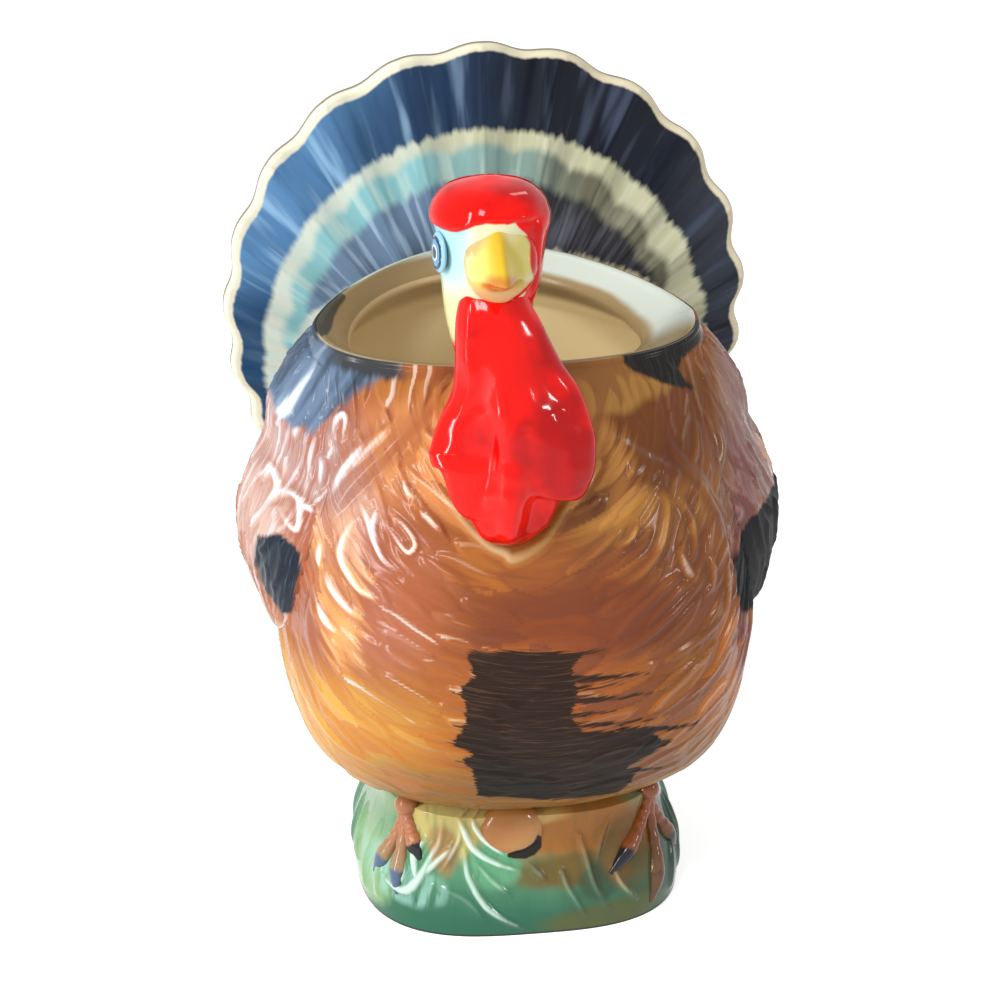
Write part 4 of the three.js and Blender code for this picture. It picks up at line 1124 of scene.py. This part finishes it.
def head_paint():
    m = Paint("head_glaze", rough=0.06, specular=0.16)
    f, s, u = m.parts("head")
    n = m.noise("head", 0.4, 3) * 1.2
    brow = 5.6 - s.step(-3, -9) * 2.4
    edge = 5.6 - u.step(-9, -13) * 12 - u.step(1, 6.5) * 3.4
    face = (u + n - brow).step(0.2, -0.2) * (s + n - edge).step(0.2, -0.2)
    face *= (u + n).step(-21, -19) * (f + n).step(-6, -4.5)
    skin = m.mix(u.step(-12, -4), (222, 214, 158), (170, 218, 222))
    skin = m.mix(s.step(-7.5, -4), skin, (216, 212, 172))
    return m.color(m.mix(face, red(m), skin))


beak_length, beak_half_width, beak_half_height = 9, 6.2, 7.2
beak_droop, beak_side, beak_drop, ridge_side = 1.3, 0.9, 2.4, -1.7
pad_seat, pad_thick, pad_side = head_half_depth * 0.72, 4.3, beak_side - 0.5
pad_half_width, pad_half_height = beak_half_width * 1.1, beak_half_height * 1.14


def on_head(forward, side, up):
    return head_middle + faceward * forward + sideways * side + np.array([0, 0, 1]) * up


def beak():
    """A broad pad with a ridge that stands out of it as the beak, as heights over the face."""
    rows, cols = 90, 144
    around = np.linspace(0, turn, cols, endpoint=False)
    tip_s, tip_u = beak_side + ridge_side, -beak_drop - beak_droop
    edge_s = pad_side + pad_half_width * np.cos(around)
    edge_u = -beak_drop + pad_half_height * np.sin(around)
    share = np.linspace(1, 0.01, rows)[:, None]
    s = tip_s + (edge_s - tip_s) * share
    u = tip_u + (edge_u - tip_u) * share
    oval = np.hypot((s - pad_side) / pad_half_width, (u + beak_drop) / pad_half_height)
    pad = pad_seat + pad_thick * np.sqrt(np.clip(1 - oval**3, 0, 1))
    pad -= 0.7 * np.exp(-(((s - 4.4) / 1.7) ** 2) - ((u + 0.6) / 2.6) ** 2) + 1.2 * smooth(-u, 5, 10)
    climb = np.clip((5.2 - u) / (5.2 - tip_u), 0, 1)
    height = np.where(u > tip_u, climb**1.25, np.exp(-(((tip_u - u) / 1.9) ** 2)))
    half = 1.1 + 2.9 * climb
    crest = np.exp(-(((np.hypot(s - tip_s, 0.7) - 0.7) / half / 0.6) ** 1.25))
    forward = pad + (beak_length + head_half_depth - pad_seat - pad_thick) * height * crest
    roots = [np.full(cols, head_half_depth * k) for k in (0.6, 0.66)]
    pairs = (roots, forward), ([edge_s] * 2, s), ([edge_u] * 2, u)
    p = outward(on_head(*(np.concatenate(pair)[..., None] for pair in pairs)))
    shape = Shape()
    shape.add(p, place=p, head=head_parts(p))
    return shape


def beak_paint():
    m = Paint("beak_glaze", rough=0.12, specular=0.4)
    s, u = m.parts("head")[1:]
    n = m.noise("head", 0.45, 3) * 2.2
    c = m.mix((u + n).step(-9, -5), (214, 178, 124), (206, 194, 146))
    spots = [(-4.6, 2.4, 2.2, 3.6, 0.8, (190, 160, 98)), (-5.4, -4.6, 2.2, 2.6, 0.5, (214, 190, 140))]
    c = m.lay(c, s, u, spots, n)
    c = m.mix(m.blot(s, u, 3.6, -0.3, 2.4, 4.2, n * 0.2), c, (206, 194, 110))
    half = u.step(5.2, -3) * 3.8 + 0.9
    ridge = (m.math("ABSOLUTE", s + 1) - half).step(1.1, -0.8)
    yellow = m.mix(s.step(-4.4, -1.6), (230, 212, 112), (208, 170, 30))
    yellow = m.mix(s.step(-0.4, 0.8), yellow, (196, 176, 70))
    c = m.mix(ridge * u.step(-8, -5), c, yellow)
    # Orange-brown at and below the beak's tip: the tip's own colour, with painted shade under it.
    c = m.mix(m.blot(s, u, -0.9, -4.6, 3.1, 2.3, n * 0.16) * 0.9, c, (186, 112, 30))
    jagged = u + n * 0.8 - m.most(s - 1, 0) * 0.9
    c = m.mix(jagged.step(-9.6, -10.2), c, (210, 8, 8))
    edge = 5.3 - u.step(1, 6.5) * 3.2 + u.step(-2, -7) * 1.2
    return m.color(m.mix((s + n * 0.25 - edge).step(-0.3, 0.3), c, (200, 5, 8)))


wattle_drop, wattle_half_width, wattle_half_depth, wattle_lobe = 48, 15.4, 7.4, 1.1
wattle_shares = [
    [-0.04, -0.21, -0.35, 0.36, 0.42],
    [0.08, -0.19, -0.1, 0.49, 0.7],
    [0.2, -0.12, 0, 0.58, 0.84],
    [0.32, -0.05, 0.03, 0.7, 0.9],
    [0.42, 0, 0.06, 0.86, 0.96],
    [0.52, 0.03, 0.1, 0.96, 1],
    [0.62, 0.04, 0.16, 1, 1],
    [0.71, 0.0, 0.28, 0.93, 1],
    [0.79, -0.05, 0.36, 0.7, 0.94],
    [0.87, -0.03, 0.42, 0.5, 0.8],
    [0.95, -0.02, 0.46, 0.38, 0.6],
    [1, 0, 0.48, 0.12, 0.18],
]

# Folds of the wattle, drawn over its front: points across and up, half width, height, no paleness.
wattle_grooves = [
    ([(-14.3, 101), (-13.3, 107.9), (-11.9, 113.6), (-11.5, 121)], 1.7, 0.8, 0),
    ([(-1.2, 98), (-3.1, 105.7), (-4.4, 112.1), (-5.1, 119)], 1.7, 0.7, 0),
]
wattle_swells = [
    ([(-14.9, 144), (-15.3, 138), (-15.6, 133), (-15.1, 128), (-16.3, 123), (-18, 119)], 1.2, 0.8, 0),
    ([(-8.4, 96), (-8.6, 108), (-9, 120), (-9.5, 134)], 2.2, 0.8, 0),
    ([(-19, 109), (-18, 114), (-16, 122)], 2.2, 0.8, 0),
    ([(3.5, 106), (3, 112), (0, 122)], 2.6, 0.8, 0),
]
wattle_bumps, bump_height = 46, 0.3


def wattle():
    chin = head_level - head_half_depth * 0.85
    front = neck_back - 2 * neck_half_depth
    stations = [[neck_side + wattle_half_width * side, front - wattle_half_depth * forward,
                 chin - wattle_drop * drop, wattle_half_width * wide, wattle_half_depth * deep]
                for drop, side, forward, wide, deep in wattle_shares]

    def lobes(a, t):
        fold = np.cos(5 * (a - math.pi / 2)) + 0.6 * np.sin(9 * t + 3 * a)
        return wattle_lobe * np.sin(math.pi * t**1.5) * fold * 0.9

    p, a, t = bar(stations, 180, 220, lobes)
    p = outward(p)
    n = normals(p, True)
    bumps = np.zeros_like(t)
    for _ in range(wattle_bumps):
        a0, t0 = rng.uniform(0, turn), rng.uniform(0.06, 0.97)
        da = np.abs((a - a0 + math.pi) % turn - math.pi)
        wide, tall = rng.uniform(0.16, 0.34), rng.uniform(0.022, 0.06)
        high = rng.uniform(-bump_height, bump_height)
        bumps += high * np.exp(-((da / wide) ** 2) - ((t - t0) / tall) ** 2)
    swell, groove = (drawn(p[..., 0], p[..., 2], lines)[0] for lines in (wattle_swells, wattle_grooves))
    bumps += smooth(-n[..., 1], 0.1, 0.6) * (swell - groove)
    p = p + n * bumps[..., None]
    shape = Shape()
    shape.add(p, place=p)
    return shape


def wattle_paint():
    m = Paint("red_glaze", rough=0.08, specular=0.22)
    return m.color(red(m))


def ellipsoid(radii, rows=48, cols=72):
    """A closed egg about the origin, its poles above and below."""
    v = np.linspace(0.02, math.pi - 0.02, rows)
    u = np.linspace(0, turn, cols, endpoint=False)
    v2, u2 = np.meshgrid(v, u, indexing="ij")
    return np.stack([np.sin(v2) * np.cos(u2), np.sin(v2) * np.sin(u2), -np.cos(v2)], -1) * radii


eye_radii, eye_drop = (1, 3.2, 3.9), 1.8


def eye(sign, angle):
    s, c = sign * math.sin(angle), math.cos(angle)
    centre = on_head(head_half_depth * c, head_half_width * s, -eye_drop)
    out = faceward * c + sideways * s
    turn_to = np.array(Vector((1, 0, 0)).rotation_difference(Vector(out)).to_matrix())
    local = ellipsoid(eye_radii)
    ring = np.hypot(local[..., 1] / 3.4, local[..., 2] / 4) * 3.2
    p = local @ turn_to.T + centre
    shape = Shape()
    shape.add(outward(p), place=p, disc=ring)
    return shape


def eye_paint():
    m = Paint("eye_glaze", rough=0.06, specular=0.4)
    r = m.value("disc") + m.noise("place", 0.9) * 0.5
    c = m.mix(r.step(0.85, 1.05), (14, 20, 30), (214, 230, 238))
    c = m.mix(r.step(1.15, 1.35), c, (92, 142, 182))
    c = m.mix(r.step(1.9, 2.1), c, (26, 44, 74))
    return m.color(m.mix(r.step(2.4, 2.65), c, (140, 190, 214)))


toe_radius, claw_swell, ankle_radius, toe_rings = 1.6, 0.4, 2.5, 0.08
ankle_angle = 49


def toe(ankle, claw):
    stations = []
    for k in range(5):
        f = k / 4
        angle = math.radians(ankle[0] + (claw[0] - ankle[0]) * f**1.4)
        t = ankle[1] + (claw[1] - ankle[1]) * f
        thick = toe_radius * (0.85 + 0.15 * f if k < 4 else 0.3)
        thick += claw_swell * math.exp(-((f - 0.78) ** 2) * 60)
        stations.append([*base_point(angle, t), thick, thick])
    return bar(stations, 32, 50)


def foot(sign, ends):
    shape = Shape()
    for angle, share in ends:
        p, _, t = toe((sign * ankle_angle, 1), (sign * angle, share))
        p = outward(p)
        n = normals(p, True)
        p = p + n * (toe_rings * np.sin(t * 46) * smooth(0.7 - t, 0, 0.1))[..., None]
        shape.add(p, place=p, toe=t)
    p = outward(ellipsoid((ankle_radius,) * 3, 32, 40) + base_point(math.radians(sign * ankle_angle), 1))
    shape.add(p, place=p, toe=np.zeros(p.shape[:2]))
    return shape


def foot_paint():
    m = Paint("foot_glaze", rough=0.14, specular=0.35)
    x, _, z = m.parts("place")
    t = m.value("toe") + m.noise("place", 0.5, 3) * 0.1
    on_left = x.step(-5, 5)
    c = m.mix(on_left, (168, 106, 68), (136, 72, 38))
    c = m.mix((z + t * 4).step(24, 14), c, m.mix(on_left, (142, 134, 98), (84, 66, 38)))
    mottled = m.noise("place", 0.3, 3) + 0.5
    c = m.mix(mottled * 0.5, c, m.mix(on_left, (178, 120, 84), (150, 84, 46)))
    claw = m.mix(x.step(-27, -29), (26, 28, 32), (78, 98, 126))
    dark = t.step(0.7, 0.76) * (1 - on_left * z.step(12, 8) * 0.7)
    return m.color(m.mix(dark, c, claw))


knoll_half_width, knoll_proud, knoll_half_height, knoll_side = 7, 2.2, 6.3, -4.6


def knoll():
    centre = base_point(0, 0.86, -toe_radius)
    centre[0] = knoll_side
    p = ellipsoid((knoll_half_width, knoll_proud + toe_radius, knoll_half_height), 60, 90)
    p = outward(p + centre)
    shape = Shape()
    shape.add(p, place=p, knoll=p - centre, dab=depth_inside(p[..., 0], p[..., 2], crescent_outline))
    return shape


def knoll_paint():
    m = Paint("knoll_glaze", specular=0.3)
    x, _, z = m.parts("knoll")
    n = m.noise("knoll", 0.3, 3) * 1.4
    c = m.mix((x - z + n).step(-6, 5), (160, 104, 56), (192, 138, 82))
    c = m.mix((z + n).step(3, 6), c, (162, 112, 56))
    return m.color(m.mix((m.value("dab") + n * 0.2).step(-0.25, 0.15), c, (38, 34, 28)))


red_mat, eye_mat, wing_mat, foot_mat = wattle_paint(), eye_paint(), wing_paint(), foot_paint()
body().build("body", [body_paint(), inside_paint()], ["body_vessel"], "feather_glaze")
base().build("base", [base_paint()], ["grass_base"], "grass_glaze")
fan().build("tail", [fan_paint()], ["tail_fan"], "tail_glaze")
wing(1).build("left_wing", [wing_mat], ["wing_left"], "wing_glaze")
wing(-1).build("right_wing", [wing_mat], ["wing_right"], "wing_glaze")
head().build("head", [head_paint()], ["head_and_neck"], "red_glaze")
wattle().build("wattle_lobes", [red_mat], ["wattle"], "red_glaze")
beak().build("beak_shape", [beak_paint()], ["beak"], "beak_glaze")
eye(1, math.radians(118)).build("left_eye", [eye_mat], ["eye_left"], "eye_glaze")
eye(-1, math.radians(79)).build("right_eye", [eye_mat], ["eye_right"], "eye_glaze")
foot(1, [[26, 0.46], [40, 0.1], [60, 0.36]]).build("left_foot", [foot_mat], ["foot_left"], "foot_glaze")
foot(-1, [[40, 0.6], [46, 0.28], [58, 0.34]]).build("right_foot", [foot_mat], ["foot_right"], "foot_glaze")
knoll().build("knoll_shape", [knoll_paint()], ["knoll"], "foot_glaze")

# Floor, light and camera.
floor_half = 12
me = bpy.data.meshes.new("floor")
corners = [(x * floor_half, y * floor_half, 0) for x, y in ((-1, -1), (1, -1), (1, 1), (-1, 1))]
me.from_pydata(corners, [], [(0, 1, 2, 3)])
floor = bpy.data.objects.new("floor", me)
bpy.context.scene.collection.objects.link(floor)
floor_mat = Paint("floor", rough=0.9, specular=0.1)
floor_mat.color(rgb(246, 246, 246))


def seen(tree):
    """1 for a ray of the camera and a mirrored or refracted ray, else 0."""
    rays = tree.nodes.new("ShaderNodeLightPath").outputs
    total = rays["Is Camera Ray"]
    for name in ("Is Glossy Ray", "Is Transmission Ray"):
        n = tree.nodes.new("ShaderNodeMath")
        n.operation = "MAXIMUM"
        tree.links.new(total, n.inputs[0])
        tree.links.new(rays[name], n.inputs[1])
        total = n.outputs[0]
    return total


floor_mat.put(floor_mat.shader.inputs["Emission Color"], (1, 1, 1, 1))
glow = Wire(floor_mat, seen(floor_mat.tree)) * 0.55
floor_mat.put(floor_mat.shader.inputs["Emission Strength"], glow)
me.materials.append(floor_mat.mat)

world = bpy.data.worlds.new("world")
bpy.context.scene.world = world
world.use_nodes = True
w = world.node_tree
sky = w.nodes["Background"]
sky.inputs[0].default_value = (0.97, 0.985, 1, 1)
bright = w.nodes.new("ShaderNodeMapRange")
bright.inputs["To Min"].default_value = 0.5
w.links.new(seen(w), bright.inputs["Value"])
w.links.new(bright.outputs["Result"], sky.inputs[1])


lamp_target = Vector((0, 0, 0.09))


def lamp(name, place, size, power):
    """A rectangle of light in metres and watts, towards the middle of the part."""
    data = bpy.data.lights.new(name, "AREA")
    data.shape, data.size, data.size_y = "RECTANGLE", *size
    data.energy = power
    o = bpy.data.objects.new(name, data)
    o.location = place
    o.rotation_euler = (lamp_target - Vector(place)).to_track_quat("-Z", "Y").to_euler()
    bpy.context.scene.collection.objects.link(o)


lamp("window", (-0.62, -0.36, 0.34), (0.05, 0.6), 4.3)
lamp("key", (-0.3, -0.5, 0.75), (0.16, 0.16), 2.4)
lamp("right", (0.6, -0.42, 0.35), (0.035, 0.14), 0.9)
lamp("back", (0.35, 0.35, 0.75), (0.12, 0.3), 0.8)

# The camera stands to the viewer's left and above, and looks at a point inside the body.
azimuth, elevation, roll = math.radians(-8), math.radians(22), math.radians(0.3)
distance, target_height, target_side = 0.45, 0.0857, -0.0033
fwd = Vector((-math.sin(azimuth) * math.cos(elevation), math.cos(azimuth) * math.cos(elevation),
              -math.sin(elevation)))
right = Vector((math.cos(azimuth), math.sin(azimuth), 0))
up = right.cross(fwd)
target = Vector((0, 0, target_height)) + right * (shift_x * 0.001 + target_side)
rotation = Matrix((right, up, -fwd)).transposed() @ Matrix.Rotation(roll, 3, "Z")
cam = bpy.data.cameras.new("camera")
cam.lens, cam.sensor_width = 76.14, 36
cam.clip_start, cam.clip_end = 0.01, 10
cam_o = bpy.data.objects.new("camera", cam)
cam_o.matrix_world = Matrix.Translation(target - fwd * distance) @ rotation.to_4x4()
bpy.context.scene.collection.objects.link(cam_o)
bpy.context.scene.camera = cam_o
bpy.context.scene.view_settings.view_transform = "Standard"
